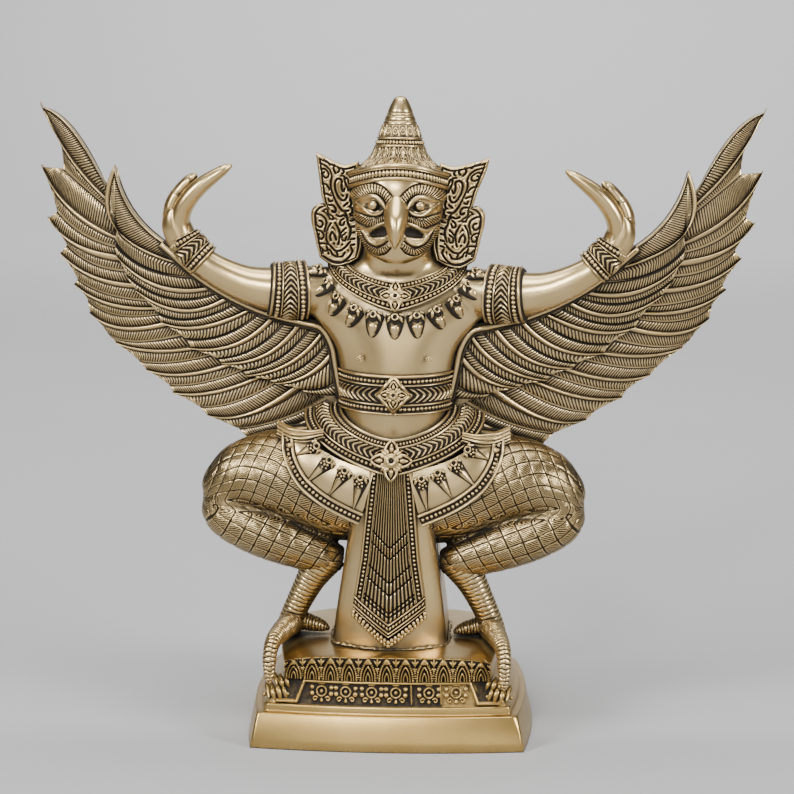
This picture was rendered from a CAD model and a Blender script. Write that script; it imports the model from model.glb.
"""A cast brass bird figure with spread wings, on a stepped plinth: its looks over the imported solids.

Sizes in the tables are millimetres. Points of the figure are given on a drawing of it, with x to the side,
y to the back and heights taken from the top of the plinth. The figure leans a little on its plinth.
"""

import math

import bmesh
import bpy
import numpy as np
from bpy.props import FloatProperty, FloatVectorProperty, IntProperty, PointerProperty
from mathutils import Matrix, Vector


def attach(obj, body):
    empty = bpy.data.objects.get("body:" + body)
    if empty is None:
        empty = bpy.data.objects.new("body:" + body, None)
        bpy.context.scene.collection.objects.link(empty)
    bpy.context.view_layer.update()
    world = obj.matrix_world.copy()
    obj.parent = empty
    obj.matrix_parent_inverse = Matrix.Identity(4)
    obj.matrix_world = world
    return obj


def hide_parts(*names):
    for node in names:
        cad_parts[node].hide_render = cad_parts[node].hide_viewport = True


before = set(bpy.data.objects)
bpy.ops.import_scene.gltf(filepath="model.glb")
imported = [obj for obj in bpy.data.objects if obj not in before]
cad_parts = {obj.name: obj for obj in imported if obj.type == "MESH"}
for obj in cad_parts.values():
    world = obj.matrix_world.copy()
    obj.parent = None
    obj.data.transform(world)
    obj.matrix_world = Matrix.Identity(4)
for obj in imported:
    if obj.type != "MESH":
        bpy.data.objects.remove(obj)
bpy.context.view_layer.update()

bl_info = {
    "name": "Brass Bird Figure",
    "version": (1, 0, 0),
    "blender": (4, 5, 0),
    "location": "View3D > Sidebar > Bird Figure",
    "description": "Makes the visible pieces of a cast brass bird figure and its plinth",
    "category": "Object",
}

MM = 0.001
PLINTH_TOP = 43.3
PIECE_GAP = 0.3  # from the plinth's top to the figure's foot
LEAN = math.radians(0.9)
SPREAD = 1.0276  # how much wider the wings are than on the drawing
WING_START = 40  # where on the drawing a wing starts to sweep back
BAND_FOOT = -0.8  # how deep a band's edges are let into what they lie on
BACK = np.array([0.0, 1.0, 0.0])
FRONT = -BACK
UP = np.array([0.0, 0.0, 1.0])


# Curves and limbs

def curve(points, samples=160):
    """Points spaced evenly along a smooth curve through the given points"""
    p = np.array(points, float)
    p = np.vstack([2 * p[0] - p[1], p, 2 * p[-1] - p[-2]])
    dense = []
    steps = 24
    for i in range(1, len(p) - 2):
        knots = [max(np.linalg.norm(p[i + k + 1] - p[i + k]) ** 0.5, 1e-4) for k in (-1, 0, 1)]
        before, here, after = knots
        start = (p[i] - p[i - 1]) / before - (p[i + 1] - p[i - 1]) / (before + here) + (p[i + 1] - p[i]) / here
        end = (p[i + 1] - p[i]) / here - (p[i + 2] - p[i]) / (here + after) + (p[i + 2] - p[i + 1]) / after
        start, end = start * here, end * here
        t = np.linspace(0, 1, steps, endpoint=False)[:, None]
        dense.append(p[i] + start * t + (3 * (p[i + 1] - p[i]) - 2 * start - end) * t ** 2
                     + (2 * (p[i] - p[i + 1]) + start + end) * t ** 3)
    dense = np.vstack(dense + [p[-2][None]])
    length = np.concatenate([[0], np.cumsum(np.linalg.norm(np.diff(dense, axis=0), axis=1))])
    even = np.linspace(0, length[-1], samples)
    return np.stack([np.interp(even, length, dense[:, k]) for k in range(p.shape[1])], 1)


def read(table, share):
    """Rows of an evenly spaced table at shares from 0 to 1 of its length"""
    place = np.clip(share, 0, 1) * (len(table) - 1)
    low = np.minimum(place.astype(int), len(table) - 2)
    part = (place - low)[:, None]
    return table[low] * (1 - part) + table[low + 1] * part


def closed_ends(count):
    """Shares along a skin, with one past each end, where the skin draws in to a point"""
    return np.concatenate([[-0.01], np.linspace(0, 1, count), [1.01]])


def in_runs(*runs):
    """Shares from 0 up, in runs that each have an end and a count of lines"""
    shares, start = [[0.0]], 0.0
    for end, count in runs:
        shares.append(np.linspace(start, end, count)[1:])
        start = end
    return np.concatenate(shares)


def unit(v):
    return v / np.maximum(np.linalg.norm(v, axis=-1, keepdims=True), 1e-9)


def smooth(low, high, x):
    t = np.clip((x - low) / (high - low), 0, 1)
    return t * t * (3 - 2 * t)


class Limb:
    """A rounded limb through rows of x, y, z, half width and half depth"""

    def __init__(self, rows, upright=False, lean=BACK):
        rows = np.array(rows, float)
        self.table = curve(rows, 240)
        middle = self.table[:, :3]
        along = np.tile(UP, (len(middle), 1)) if upright else unit(np.gradient(middle, axis=0))
        depth = unit(lean - along * (along @ lean)[:, None])
        self.depth = depth
        self.width = np.cross(depth, along)
        self.length = np.linalg.norm(np.diff(middle, axis=0), axis=1).sum()

    def at(self, share, turn, lift=0.0):
        row = read(self.table, share)
        depth, width = unit(read(self.depth, share)), unit(read(self.width, share))
        a = (row[:, 3] + lift) * np.sin(turn)
        b = (row[:, 4] + lift) * np.cos(turn)
        return row[:, :3] + width * a[:, None] + depth * b[:, None]


def upright(rows):
    """A limb from rows of height, half width, half depth and the y of its centre"""
    return Limb([[0, y, z, a, b] for z, a, b, y in rows], upright=True)


# Pieces

def blank(source=None):
    """A mesh, empty or a copy, and the two layers that every piece has"""
    made = bmesh.new()
    if source:
        made.from_mesh(source)
    return made, made.loops.layers.uv.new("plan"), made.verts.layers.float.new("recess")


class Piece:
    """A mesh made of sheets that are laid in place, with how deep in a recess each point lies"""

    def __init__(self):
        self.bm = blank()[0]

    def take(self, part, both=False):
        """Adds a finished mesh, and its mirror image where both sides have one"""
        mesh = bpy.data.meshes.new("part")
        part.to_mesh(mesh)
        part.free()
        self.bm.from_mesh(mesh)
        if both:
            mesh.transform(Matrix.Diagonal((-1, 1, 1, 1)))
            mesh.flip_normals()
            self.bm.from_mesh(mesh)
        bpy.data.meshes.remove(mesh)

    def sheet(self, us, vs, place, facing=None, both=False, merge=False, tidy=False):
        """Lays a grid with lines at the shares us and vs. place(u, v) gives points, and may give recess and plan"""
        us = np.linspace(0, 1, us + 1) if isinstance(us, int) else np.asarray(us, float)
        vs = np.linspace(0, 1, vs + 1) if isinstance(vs, int) else np.asarray(vs, float)
        part, plan, recess = blank()
        bmesh.ops.create_grid(part, x_segments=len(us) - 1, y_segments=len(vs) - 1, size=0.5)
        flat = np.array([v.co[:2] for v in part.verts])
        flat = (flat - flat.min(0)) / (flat.max(0) - flat.min(0))
        column = np.rint(flat[:, 0] * (len(us) - 1)).astype(int)
        row = np.rint(flat[:, 1] * (len(vs) - 1)).astype(int)
        made = place(us[column], vs[row])
        points, deep, spots = made if isinstance(made, tuple) else (made, None, None)
        for k, vert in enumerate(part.verts):
            vert.co = points[k]
            if deep is not None:
                vert[recess] = deep[k]
        if spots is None:
            spots = np.stack([us[column], vs[row]], 1)
        for face in part.faces:
            face.smooth = True
            for loop in face.loops:
                loop[plan].uv = spots[loop.vert.index]
        if merge:
            bmesh.ops.remove_doubles(part, verts=part.verts, dist=0.01)
            bmesh.ops.recalc_face_normals(part, faces=part.faces)
        elif facing is not None:
            if tidy:
                bmesh.ops.remove_doubles(part, verts=part.verts, dist=0.004)
            part.normal_update()
            total = sum((f.normal * f.calc_area() for f in part.faces), Vector())
            if total.dot(Vector(facing)) < 0:
                bmesh.ops.reverse_faces(part, faces=part.faces)
        self.take(part, both)

    def limb(self, limb, rows, sides, lift=None, both=False):
        """Lays a closed skin over a limb; lift(share, turn) gives its relief in millimetres, and its recess"""
        def place(u, v):
            turn = u * 2 * np.pi
            share = np.clip(v, 0, 1)
            height, deep = lift(share, turn) if lift else (np.zeros_like(u), np.zeros_like(u))
            points = limb.at(share, turn, height)
            past = (v < 0) | (v > 1)
            points[past] = read(limb.table, share[past])[:, :3]
            return points, deep, None
        self.sheet(sides, closed_ends(rows + 1), place, both=both, merge=True)

    def tube(self, points, radii, sides=8, flat=1.0, lean=BACK, both=False, rows=None, deep=0.0):
        """A round rod along points, its radius a number or one for each point"""
        points = np.array(points, float)
        radii = np.full(len(points), radii) if np.isscalar(radii) else np.array(radii, float)
        rows = rows or 2 * (len(points) - 1)
        limb = Limb(np.column_stack([points, radii, radii * flat]), lean=lean)
        self.limb(limb, rows, sides, both=both, lift=lambda s, t: (np.zeros_like(s), np.full_like(s, deep)))

    def bud(self, root, tip, half, high, normal=FRONT, both=False, sides=8, rows=6, belly=0.42, deep=0.0):
        """A pointed leaf or drop, rounded in front, from its root to its tip"""
        root, tip, normal = (np.array(v, float) for v in (root, tip, normal))
        along = tip - root
        across = unit(np.cross(along, normal))
        out = unit(np.cross(across, along))

        def place(u, v):
            turn = u * 2 * np.pi
            fat = np.where(v < belly, np.abs(np.sin(v / belly * np.pi / 2)) ** 0.7,
                           1 - np.abs((v - belly) / (1 - belly)) ** 1.5)
            side = np.sin(turn) * half * fat
            rise = np.cos(turn) * high * fat
            points = root + along * v[:, None] + across * side[:, None] + out * rise[:, None]
            return points, np.full_like(v, deep), None
        self.sheet(sides, rows, place, both=both, merge=True)

    def ball(self, centre, radii, both=False, columns=12, rows=8, deep=0.0):
        part, _, recess = blank()
        radii = (radii,) * 3 if np.isscalar(radii) else radii
        place = Matrix.Translation(Vector(centre)) @ Matrix.Diagonal((*radii, 1))
        bmesh.ops.create_uvsphere(part, u_segments=columns, v_segments=rows, radius=1, matrix=place)
        for vert in part.verts:
            vert[recess] = deep
        for face in part.faces:
            face.smooth = True
        self.take(part, both)

    def ring(self, centre, radius, thick, normal=FRONT, both=False, columns=14, sides=7):
        """A torus round a normal"""
        centre, normal = np.array(centre, float), unit(np.array(normal, float))
        first = unit(np.cross(normal, UP if abs(normal[2]) < 0.9 else BACK))
        second = np.cross(normal, first)

        def place(u, v):
            a, b = u * 2 * np.pi, v * 2 * np.pi
            radial = first * np.cos(a)[:, None] + second * np.sin(a)[:, None]
            return centre + radial * (radius + thick * np.cos(b))[:, None] + normal * (thick * np.sin(b))[:, None]
        self.sheet(columns, sides, place, both=both, merge=True)

    def finish(self, name, material, keep=1.0, sharp=None, node="figure"):
        """Puts the piece on the body, with a share of its faces kept where they lie close. A piece of the figure
        is raised onto the plinth, and leans with it"""
        place = Matrix.Diagonal((MM, MM, MM, 1))
        if node == "figure":
            rise = Matrix.Translation((0, 0, PLINTH_TOP + PIECE_GAP))
            place = place @ rise @ Matrix.Rotation(LEAN, 4, "Y")
        bmesh.ops.transform(self.bm, matrix=place, verts=self.bm.verts)
        if sharp:
            for edge in self.bm.edges:
                edge.smooth = len(edge.link_faces) == 2 and edge.calc_face_angle(0) < sharp
        mesh = bpy.data.meshes.new(name)
        self.bm.to_mesh(mesh)
        self.bm.free()
        piece = bpy.data.objects.new(name, mesh)
        bpy.context.scene.collection.objects.link(piece)
        mesh.materials.append(material)
        if keep < 1:
            fewer = piece.modifiers.new("fewer faces", "DECIMATE")
            fewer.ratio = keep
        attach(piece, "root")
        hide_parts(node)


# Chased and raised work, as heights over a flat field in millimetres

class Chasing:
    """Strokes on a field. A raised stroke stands up from the ground, and a cut one goes down into it"""

    def __init__(self, ground=1.0):
        self.ground = ground
        self.marks = []

    def stroke(self, points, half, height, power=0.5, cut=False, dark=1.0):
        points = np.atleast_2d(np.array(points, float))
        half = np.full(len(points), half) if np.isscalar(half) else np.array(half, float)
        self.marks.append((points, half, height, power, cut, dark))

    def both(self, points, half, height, **options):
        """A stroke and its mirror image over the field's middle"""
        points = np.atleast_2d(np.array(points, float))
        self.stroke(points, half, height, **options)
        self.stroke(points * [-1, 1], half, height, **options)

    def away(self, x, y):
        """How far each place on the field lies from the nearest stroke"""
        nearest = np.full_like(x, 99.0)
        for points, *_ in self.marks:
            for start, end in zip(points[:-1], points[1:]):
                line = end - start
                t = np.clip(((x - start[0]) * line[0] + (y - start[1]) * line[1]) / max(line @ line, 1e-9), 0, 1)
                nearest = np.minimum(nearest, np.hypot(x - start[0] - t * line[0], y - start[1] - t * line[1]))
        return nearest

    def at(self, x, y):
        height = np.zeros_like(x)
        deep = np.full_like(x, self.ground)
        for points, half, rise, power, cut, dark in self.marks:
            reach = half.max()
            low, high = points.min(0) - reach, points.max(0) + reach
            near = np.nonzero((x > low[0]) & (x < high[0]) & (y > low[1]) & (y < high[1]))[0]
            if not len(near):
                continue
            spot = np.stack([x[near], y[near]], 1)
            form = np.zeros(len(near))
            for k in range(max(len(points) - 1, 1)):
                start, end = points[k], points[min(k + 1, len(points) - 1)]
                line = end - start
                size = line @ line
                t = np.clip(((spot - start) @ line) / size, 0, 1) if size > 0 else np.zeros(len(near))
                away = np.linalg.norm(spot - start - t[:, None] * line, axis=1)
                wide = half[k] + (half[min(k + 1, len(half) - 1)] - half[k]) * t
                form = np.maximum(form, 1 - (away / np.maximum(wide, 1e-3)) ** 2)
            form = np.maximum(form, 0) ** power
            if cut:
                height[near] -= rise * form
                deep[near] = np.maximum(deep[near], dark * np.minimum(1, 1.4 * form))
            else:
                inside = form > 0
                taller = rise * form > height[near]
                height[near] = np.where(inside & taller, rise * form, height[near])
                deep[near] = np.where(inside, np.minimum(deep[near], 1 - smooth(0, 0.75, form)), deep[near])
        return height, deep


def spiral(centre, wide, narrow, start, turns, steps):
    """Points of a spiral on a field, from its wide end in"""
    t = np.linspace(0, 1, steps)
    a = math.radians(start) + t * turns * 2 * math.pi
    r = wide + (narrow - wide) * t
    return np.stack([centre[0] + r * np.cos(a), centre[1] + r * np.sin(a)], 1)


def rows_of_work(along, across, rows):
    """Heights and recess of rows on a band. Each row is its kind, middle, half width, pitch and height"""
    height = np.zeros_like(along)
    deep = np.ones_like(along)
    for kind, middle, half, pitch, rise in rows:
        off = np.abs(across - middle)
        if kind == "rail":
            form = np.maximum(0, 1 - (off / half) ** 2) ** 0.5
        elif kind == "beads":
            step = ((along / pitch) % 1 - 0.5) * pitch
            form = np.maximum(0, 1 - (np.hypot(step, off) / half) ** 2) ** 0.5
        elif kind == "chevrons":
            phase = (np.abs(along) / pitch + off * (0.55 + 0.6 * off / half) / pitch) % 1
            form = np.maximum(0, 1 - np.abs(phase - 0.5) / 0.36) * (off < half)
        height = np.maximum(height, rise * form)
        deep = np.minimum(deep, 1 - smooth(0, 0.7, form))
    return height, deep


def banded(along, v, width, rows, rise=0.0, edge=0.25, foot=BAND_FOOT):
    """Heights and recess of a band's rows, raised on its field, with both its edges let in to the foot"""
    height, deep = rows_of_work(along, v * width, rows)
    tucked = smooth(0, edge, np.minimum(v, 1 - v) * width)
    return foot + (height + rise - foot) * tucked, np.maximum(deep, 1 - tucked)


# What a user would change

class FigureSizes(bpy.types.PropertyGroup):
    feather_relief: FloatProperty(
        name="Feather relief", description="How far a quill stands off its vane", default=0.0011, unit="LENGTH")
    barb_pitch: FloatProperty(
        name="Barb pitch", description="Spacing of the cut barbs along a feather", default=0.0013, unit="LENGTH")
    bead_width: FloatProperty(
        name="Bead width", description="Width of the beads on collar, belt and sash", default=0.0018, unit="LENGTH")
    net_pitch: FloatProperty(
        name="Net pitch", description="Spacing of the net cut into the legs", default=0.0067, unit="LENGTH")
    shin_rings: IntProperty(name="Shin rings", description="Rings on each shin", default=20, min=3, max=30)


class FigureColours(bpy.types.PropertyGroup):
    brass: FloatVectorProperty(
        name="Brass", description="Polished metal", subtype="COLOR", size=3, default=(0.65, 0.48, 0.238))
    patina: FloatVectorProperty(
        name="Patina", description="Dark in the recesses", subtype="COLOR", size=3, default=(0.016, 0.012, 0.008))
    tarnish: FloatVectorProperty(
        name="Tarnish", description="Brown in the hollows", subtype="COLOR", size=3, default=(0.14, 0.124, 0.09))
    floor: FloatVectorProperty(
        name="Floor", description="Floor and backdrop", subtype="COLOR", size=3, default=(0.47, 0.47, 0.474))


def sizes():
    return bpy.context.scene.figure_sizes


def colours():
    return bpy.context.scene.figure_colours


# Materials

def node(tree, kind, links=(), **values):
    """A node with its values set, and its sockets linked or set"""
    made = tree.nodes.new(kind)
    for name, value in values.items():
        setattr(made, name, value)
    for socket, source in links:
        if isinstance(source, bpy.types.NodeSocket):
            tree.links.new(source, made.inputs[socket])
        else:
            made.inputs[socket].default_value = source
    return made


def noise(tree, place, scale, detail=2.0):
    return node(tree, "ShaderNodeTexNoise", [("Vector", place), ("Scale", scale), ("Detail", detail)]).outputs["Fac"]


def mixed(tree, factor, first, second):
    """One colour laid over another; the node's colour sockets are its seventh and eighth"""
    return node(tree, "ShaderNodeMix", [("Factor", factor), (6, first), (7, second)], data_type="RGBA").outputs[2]


def ranged(tree, value, low, high, first=0.0, last=1.0, kind="LINEAR"):
    return node(tree, "ShaderNodeMapRange", [
        ("Value", value), ("From Min", low), ("From Max", high), ("To Min", first), ("To Max", last),
    ], interpolation_type=kind).outputs["Result"]


def net_pitches():
    """Spacing of the net's long lines and of the lines across them, in millimetres"""
    pitch = sizes().net_pitch / MM
    return pitch, pitch * 1.045


def brass(name, polish, scratches=0.05, patina=1.0, net=0.0, tone=(1, 1, 1), tarnished=0.7):
    """Polished brass with dark patina in its recesses, fine scratches and uneven tarnish; net is the pitch in
    millimetres of the hatching between a leg's net lines"""
    made = bpy.data.materials.get(name)
    if made:
        return made
    made = bpy.data.materials.new(name)
    made.use_nodes = True
    tree = made.node_tree
    tree.nodes.clear()

    def maths(operation, a, b, clamp=False):
        return node(tree, "ShaderNodeMath", [(0, a), (1, b)], operation=operation, use_clamp=clamp).outputs[0]

    def openness(distance, samples):
        return node(tree, "ShaderNodeAmbientOcclusion", [("Distance", distance)], samples=samples).outputs["AO"]

    place = node(tree, "ShaderNodeTexCoord").outputs["Object"]
    clouds, grit = noise(tree, place, 38.0, 5.0), noise(tree, place, 620.0, 4.0)
    lengthwise = node(tree, "ShaderNodeMapping", [("Vector", place), ("Scale", (140.0, 900.0, 2600.0))])
    brushed = noise(tree, lengthwise.outputs[0], 1.0)
    recess = node(tree, "ShaderNodeAttribute", attribute_name="recess").outputs["Fac"]
    narrow = maths("MULTIPLY", maths("SUBTRACT", 1.0, openness(6 * MM, 8)), 1.25)
    dirty = maths("MULTIPLY", maths("ADD", recess, narrow), patina)
    uneven = maths("ADD", dirty, maths("MULTIPLY", maths("SUBTRACT", grit, 0.5), 0.5))
    mask = ranged(tree, uneven, 0.28, 1.0, kind="SMOOTHSTEP")
    light, dark = [part * by for part, by in zip(colours().brass, tone)], (*colours().patina, 1)
    dull = [part * by for part, by in zip(light, (0.86, 0.83, 0.74))]
    colour = mixed(tree, ranged(tree, clouds, 0.35, 0.7), (*light, 1), (*dull, 1))
    tarnish = ranged(tree, openness(28 * MM, 6), 0.78, 0.28, last=tarnished)
    colour = mixed(tree, tarnish, colour, (*colours().tarnish, 1))
    colour = mixed(tree, mask, colour, dark)
    height = maths("ADD", maths("MULTIPLY", grit, 0.4), maths("MULTIPLY", brushed, scratches * 10))
    if net:
        plan = node(tree, "ShaderNodeUVMap", uv_map="plan").outputs["UV"]
        plan = node(tree, "ShaderNodeSeparateXYZ", [("Vector", plan)])
        sway = maths("MULTIPLY", maths("SUBTRACT", clouds, 0.5), 2.4)
        up, over = (maths("ADD", plan.outputs[k], sway) for k in (0, 1))

        def off_line(value, pitch):
            return maths("PINGPONG", value, pitch / 2)

        def cuts(distance, inside, outside):
            return ranged(tree, distance, inside, outside, kind="SMOOTHSTEP")
        long_pitch, cross_pitch = net_pitches()
        nearest = maths("MINIMUM", off_line(up, long_pitch), off_line(over, cross_pitch))
        slanted = maths("ADD", maths("MULTIPLY", up, 0.75), maths("MULTIPLY", over, 0.84))
        hatch = maths("ADD", cuts(off_line(slanted, net), 0.16, 0.44), cuts(nearest, 1.0, 0.6), clamp=True)
        cut = maths("MULTIPLY", hatch, cuts(nearest, 0.3, 0.62))
        height = maths("ADD", height, maths("MULTIPLY", cut, 3.0))
        colour = mixed(tree, maths("MULTIPLY", maths("SUBTRACT", 1.0, cut), 0.96), colour, dark)
    rough = ranged(tree, maths("ADD", mask, maths("MULTIPLY", grit, 0.15)), 0.0, 1.2, polish, 0.62)
    metal = ranged(tree, mask, 0.0, 1.0, 1.0, 0.1)
    bump = node(tree, "ShaderNodeBump", [("Strength", 0.22), ("Distance", 0.12 * MM), ("Height", height)])
    shader = node(tree, "ShaderNodeBsdfPrincipled", [
        ("Base Color", colour), ("Metallic", metal), ("Roughness", rough), ("Specular IOR Level", 0.15),
        ("Normal", bump.outputs[0])])
    node(tree, "ShaderNodeOutputMaterial", [("Surface", shader.outputs[0])])
    return made


def polished():
    return brass("polished brass", 0.27, scratches=0.05)


def satin():
    return brass("satin brass", 0.3, scratches=0.08)


def chased():
    return brass("chased brass", 0.27)


def netted():
    return brass("netted brass", 0.27, patina=1.15, net=1.09, tarnished=0.95)


def plain_plinth():
    return brass("plinth brass", 0.29, scratches=0.07, tone=(0.77, 0.7, 0.49), tarnished=0.15)


# Wings

def hung(side, sweep, droop):
    """Where a place on the drawing of a wing comes to lie: on its side, and swept back and drooping past the arm"""
    back, fall = math.tan(math.radians(sweep)), math.tan(math.radians(droop))

    def place(x, y, z):
        beyond = np.maximum(x - WING_START, 0)
        return np.stack([side * x * SPREAD, y + beyond * back, z - beyond * fall], 1)
    return place


# Lines from the top of the wing down, the odd ones quills and the even ones where two vanes meet, each the x and z
# of its root, of the point it bends towards, and of its tip
PRIMARIES = np.array([
    (136.2, 207.6, 154, 253, 171.2, 255.9), (124.7, 200.7, 155.2, 219.5, 171.2, 256.2),
    (122.3, 193, 157, 222, 160.8, 225.9), (122.3, 188.8, 159.3, 198.5, 171.2, 226.8),
    (119, 186.2, 149.5, 186.1, 164.4, 205.6), (115.3, 183.5, 155.2, 180.1, 168.3, 201.8),
    (112.2, 177.5, 144.5, 171.3, 160.2, 189.5), (109.3, 171.2, 144.6, 165.1, 162.5, 184.6),
    (104.7, 161.6, 140.7, 159.8, 155.2, 172.8), (102.9, 160, 138.8, 153.6, 155.6, 169.4),
    (101.1, 158.5, 136.6, 147.3, 150.4, 162.7), (97.8, 155.6, 134, 140.9, 148, 155.3),
    (88.6, 149.3, 130.1, 135.2, 140.3, 145.9), (78.6, 143.6, 114, 132.7, 135.2, 140.6),
    (71.8, 140.7, 108.7, 127.3, 125.5, 132.3), (64.6, 137.8, 99.4, 120.7, 120.1, 127.4),
    (58.3, 135.4, 91.7, 117.6, 110.7, 120.3), (51.6, 133.1, 83.5, 113, 107, 116.4),
    (45.9, 130.2, 76.4, 107.2, 95.6, 109.7), (40.1, 127.3, 68.7, 100.1, 90, 105.5),
    (26.4, 118.7, 53.8, 100.6, 76.7, 99), (24.9, 114.3, 45.1, 99.7, 70.1, 94.4),
    (24.4, 110.4, 36.5, 96.4, 63.3, 93),
])
COVERTS = np.array([
    (104, 186.9, 129.4, 200.1, 134.9, 226.8), (104, 181, 150.8, 193.3, 134.9, 226.8),
    (92.9, 173.6, 122.9, 173.4, 134.7, 189.2), (87.6, 169.3, 116.2, 162.7, 134, 183.8),
    (83.3, 166.9, 109, 155.8, 129.9, 174.9), (79.5, 165, 101.7, 149.9, 124.1, 166.7),
    (74.7, 162.1, 98.6, 147.7, 114.3, 156), (70, 158.4, 95.7, 144.8, 112.2, 151.6),
    (64.2, 157.3, 81.6, 141, 100.8, 143.6), (58.5, 155.5, 73.7, 136.6, 97.5, 139.1),
    (52, 153.8, 66.1, 134.9, 85.5, 134.1), (46.1, 152.1, 59.1, 131.7, 82.8, 132.1),
    (39.8, 150.9, 54, 130, 73.2, 128.4), (34.6, 148.6, 47.4, 128.8, 71, 126.2),
    (31.7, 144.1, 43.5, 126.3, 60.8, 124.2), (30, 138.8, 40.4, 123.5, 57, 122.8),
    (27.1, 123.8, 36.4, 118.2, 44.9, 120), (25.1, 117.4, 33.1, 116.3, 41.8, 118.2),
])
# The rope along the wing's upper and inner edge
RIM = [
    (112, 190), (93.3, 173.8), (75.7, 163.2), (58.4, 156.2), (44.4, 152.8), (35.2, 150.2), (30.3, 142.3), (28.1, 131.6),
    (26.3, 122.2), (24.4, 114.2), (24.4, 109.8), (26.3, 106.4), (30.5, 103.8), (36.7, 102), (45.6, 100.7), (55, 99.3),
]
# The web between wing and back: x and z of its middle, and half its height
WEB = [(10, 136, 42), (38, 135, 38), (56, 152, 18), (84, 170, 9), (106, 186, 6)]


class Fan:
    """Vanes between neighbouring lines. An odd vane hangs below its quill, and an even one lies above the next quill.
    notch is how far the tips draw back between quills, and hollow how far the long top quill bends in"""

    def __init__(self, lines, notch, hollow=0.0):
        self.lines = lines
        self.count = len(lines) - 1
        self.notch = notch
        self.hollow = hollow

    def at(self, vane, across, along):
        """Flat x and z at a place on a vane, from its own line at 0 to the next one at 1"""
        k = np.minimum(vane, self.count - 1)
        part = across[:, None]
        root, bend, tip = np.split(self.lines[k] * (1 - part) + self.lines[k + 1] * part, 3, axis=1)
        inward = np.where(k % 2 == 1, np.clip(across, 0, 1) ** 0.9, np.clip(1 - across, 0, 1))
        inward = np.where(k == 0, 0, inward * np.interp(k, [2, 9], [0, self.notch]))
        t = (along * (1 - inward))[:, None]
        spots = root * (1 - t) ** 2 + bend * 2 * t * (1 - t) + tip * t ** 2
        hollow = np.where(k == 1, self.hollow, 0.9 * (k % 2))
        spots[:, 0] -= hollow * np.sin(np.pi * np.clip(across, 0, 1)) * along ** 3
        return spots

    def length(self, vane):
        path = self.at(np.full(40, vane), np.full(40, 0.3), np.linspace(0, 1, 40))
        return np.linalg.norm(np.diff(path, axis=0), axis=1).sum()

    def spread(self, vane, t):
        """How far the next line lies from a vane's own, square to it and along it"""
        near, far = (self.at(np.full(len(t), vane), np.full(len(t), a), t) for a in (0.0, 0.98))
        along = unit(np.gradient(near, axis=0))
        gap = far - near
        return np.abs(gap[:, 0] * along[:, 1] - gap[:, 1] * along[:, 0]), (gap * along).sum(1)

    def width(self, vane):
        """How wide a vane is, square to its line, over its visible half"""
        return max(self.spread(vane, np.linspace(0.45, 0.85, 5))[0].mean(), 2.5)

    def lean(self, vane):
        """How far its barbs reach towards the tip for each millimetre across. An upper vane's slant back at one
        lean, and a lower vane's are all cut along one stroke"""
        if vane % 2 == 0 and vane > 0:
            return -0.55
        path = self.at(np.full(2, vane), np.full(2, 0.5), np.array([0.5, 0.7]))
        quill = unit(path[1] - path[0])
        square = np.array([quill[1], -quill[0]])
        stroke = np.array([0.57, -0.82])
        return float(np.clip((quill @ stroke) / max(square @ stroke, 0.1), 0.4, 1.3))


def lay_feathers(piece, fan, hang, front, behind, start):
    """Vanes cut into slanting barbs, the odd ones with a smooth round quill along their upper side. The kinds of
    lines across a vane are its side, edge, quill's top, groove and vane"""
    relief = sizes().feather_relief / MM
    pitch = sizes().barb_pitch / MM
    stations = np.linspace(0.05, 0.97, 24)
    for vane in range(fan.count):
        length, width = fan.length(vane), fan.width(vane)
        groove = min(0.42 / width, 0.1)
        quill = min(1.6 / width, 0.48) if vane % 2 else min(0.9 / width, 0.2)
        if vane % 2 or vane == 0:
            top = -0.3 * quill * (vane % 2)
            end = top + quill
            places = [top, top, top + 0.22 * quill, top + 0.7 * quill, end, end + groove, end + 1.7 * groove,
                      0.5 * (end + 1), 1 - 1.7 * groove, 1 - groove, 1, 1]
            kinds = "seTTegvvvggs"
        else:
            end = 0
            places = [0, 0, 0.8 * groove, 1.7 * groove, 0.5, 1 - 1.7 * groove, 1 - groove, 1, 1]
            kinds = "sggvvvggs"
        places, kinds = np.array(places, float), np.array(list(kinds))
        lean = fan.lean(vane)
        per = 0.88 * pitch * math.hypot(1, lean) / length
        wide, ahead = fan.spread(vane, stations)
        slant = np.clip((lean * wide - ahead) / length, -0.4, 0.95)
        early, late = math.ceil(max(slant.max(), 0) / per), math.ceil((1 - start - min(slant.min(), 0)) / per)
        rows = np.arange(-2 * early, 2 * late + 3)
        us, vs = np.linspace(0, 1, len(places)), np.linspace(0, 1, len(rows))

        def place(u, v):
            column = np.rint(u * (len(places) - 1)).astype(int)
            row = rows[np.rint(v * (len(rows) - 1)).astype(int)]
            across, kind = places[column], kinds[column]
            last = row >= rows[-1]
            along = start + row * 0.5 * per
            along = np.clip(along + np.interp(along, stations, slant) * np.maximum(0, across - end), start, 1)
            along[last] = 1
            if end:
                across = np.where(across < end + 1.8 * groove, across * (1 - 0.45 * along ** 2), across)
            flat = fan.at(np.full(len(u), vane), across, along)
            cut = (row % 2 == 0) * (kind == "v") * smooth(1 - 0.6 / length, 1 - 3.2 / length, along)
            belly = np.sin(np.pi * np.clip((across - end) / (1 - end), 0, 1))
            height = np.select([kind == "T", kind == "e", kind == "g"], [relief, 0.35 * relief, -0.7])
            height = height + 0.3 * belly - 0.5 * across - 0.5 * cut
            deep = np.select([kind == "g", kind == "e"], [1.1, 0.3], 1.15 * cut)
            y = np.where((kind == "s") | last, behind, front + 0.3 * (1 - along) - height)
            return hang(flat[:, 0], y, flat[:, 1]), deep, np.stack([across, along], 1)
        piece.sheet(us, vs, place, facing=FRONT, tidy=True)


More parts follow.
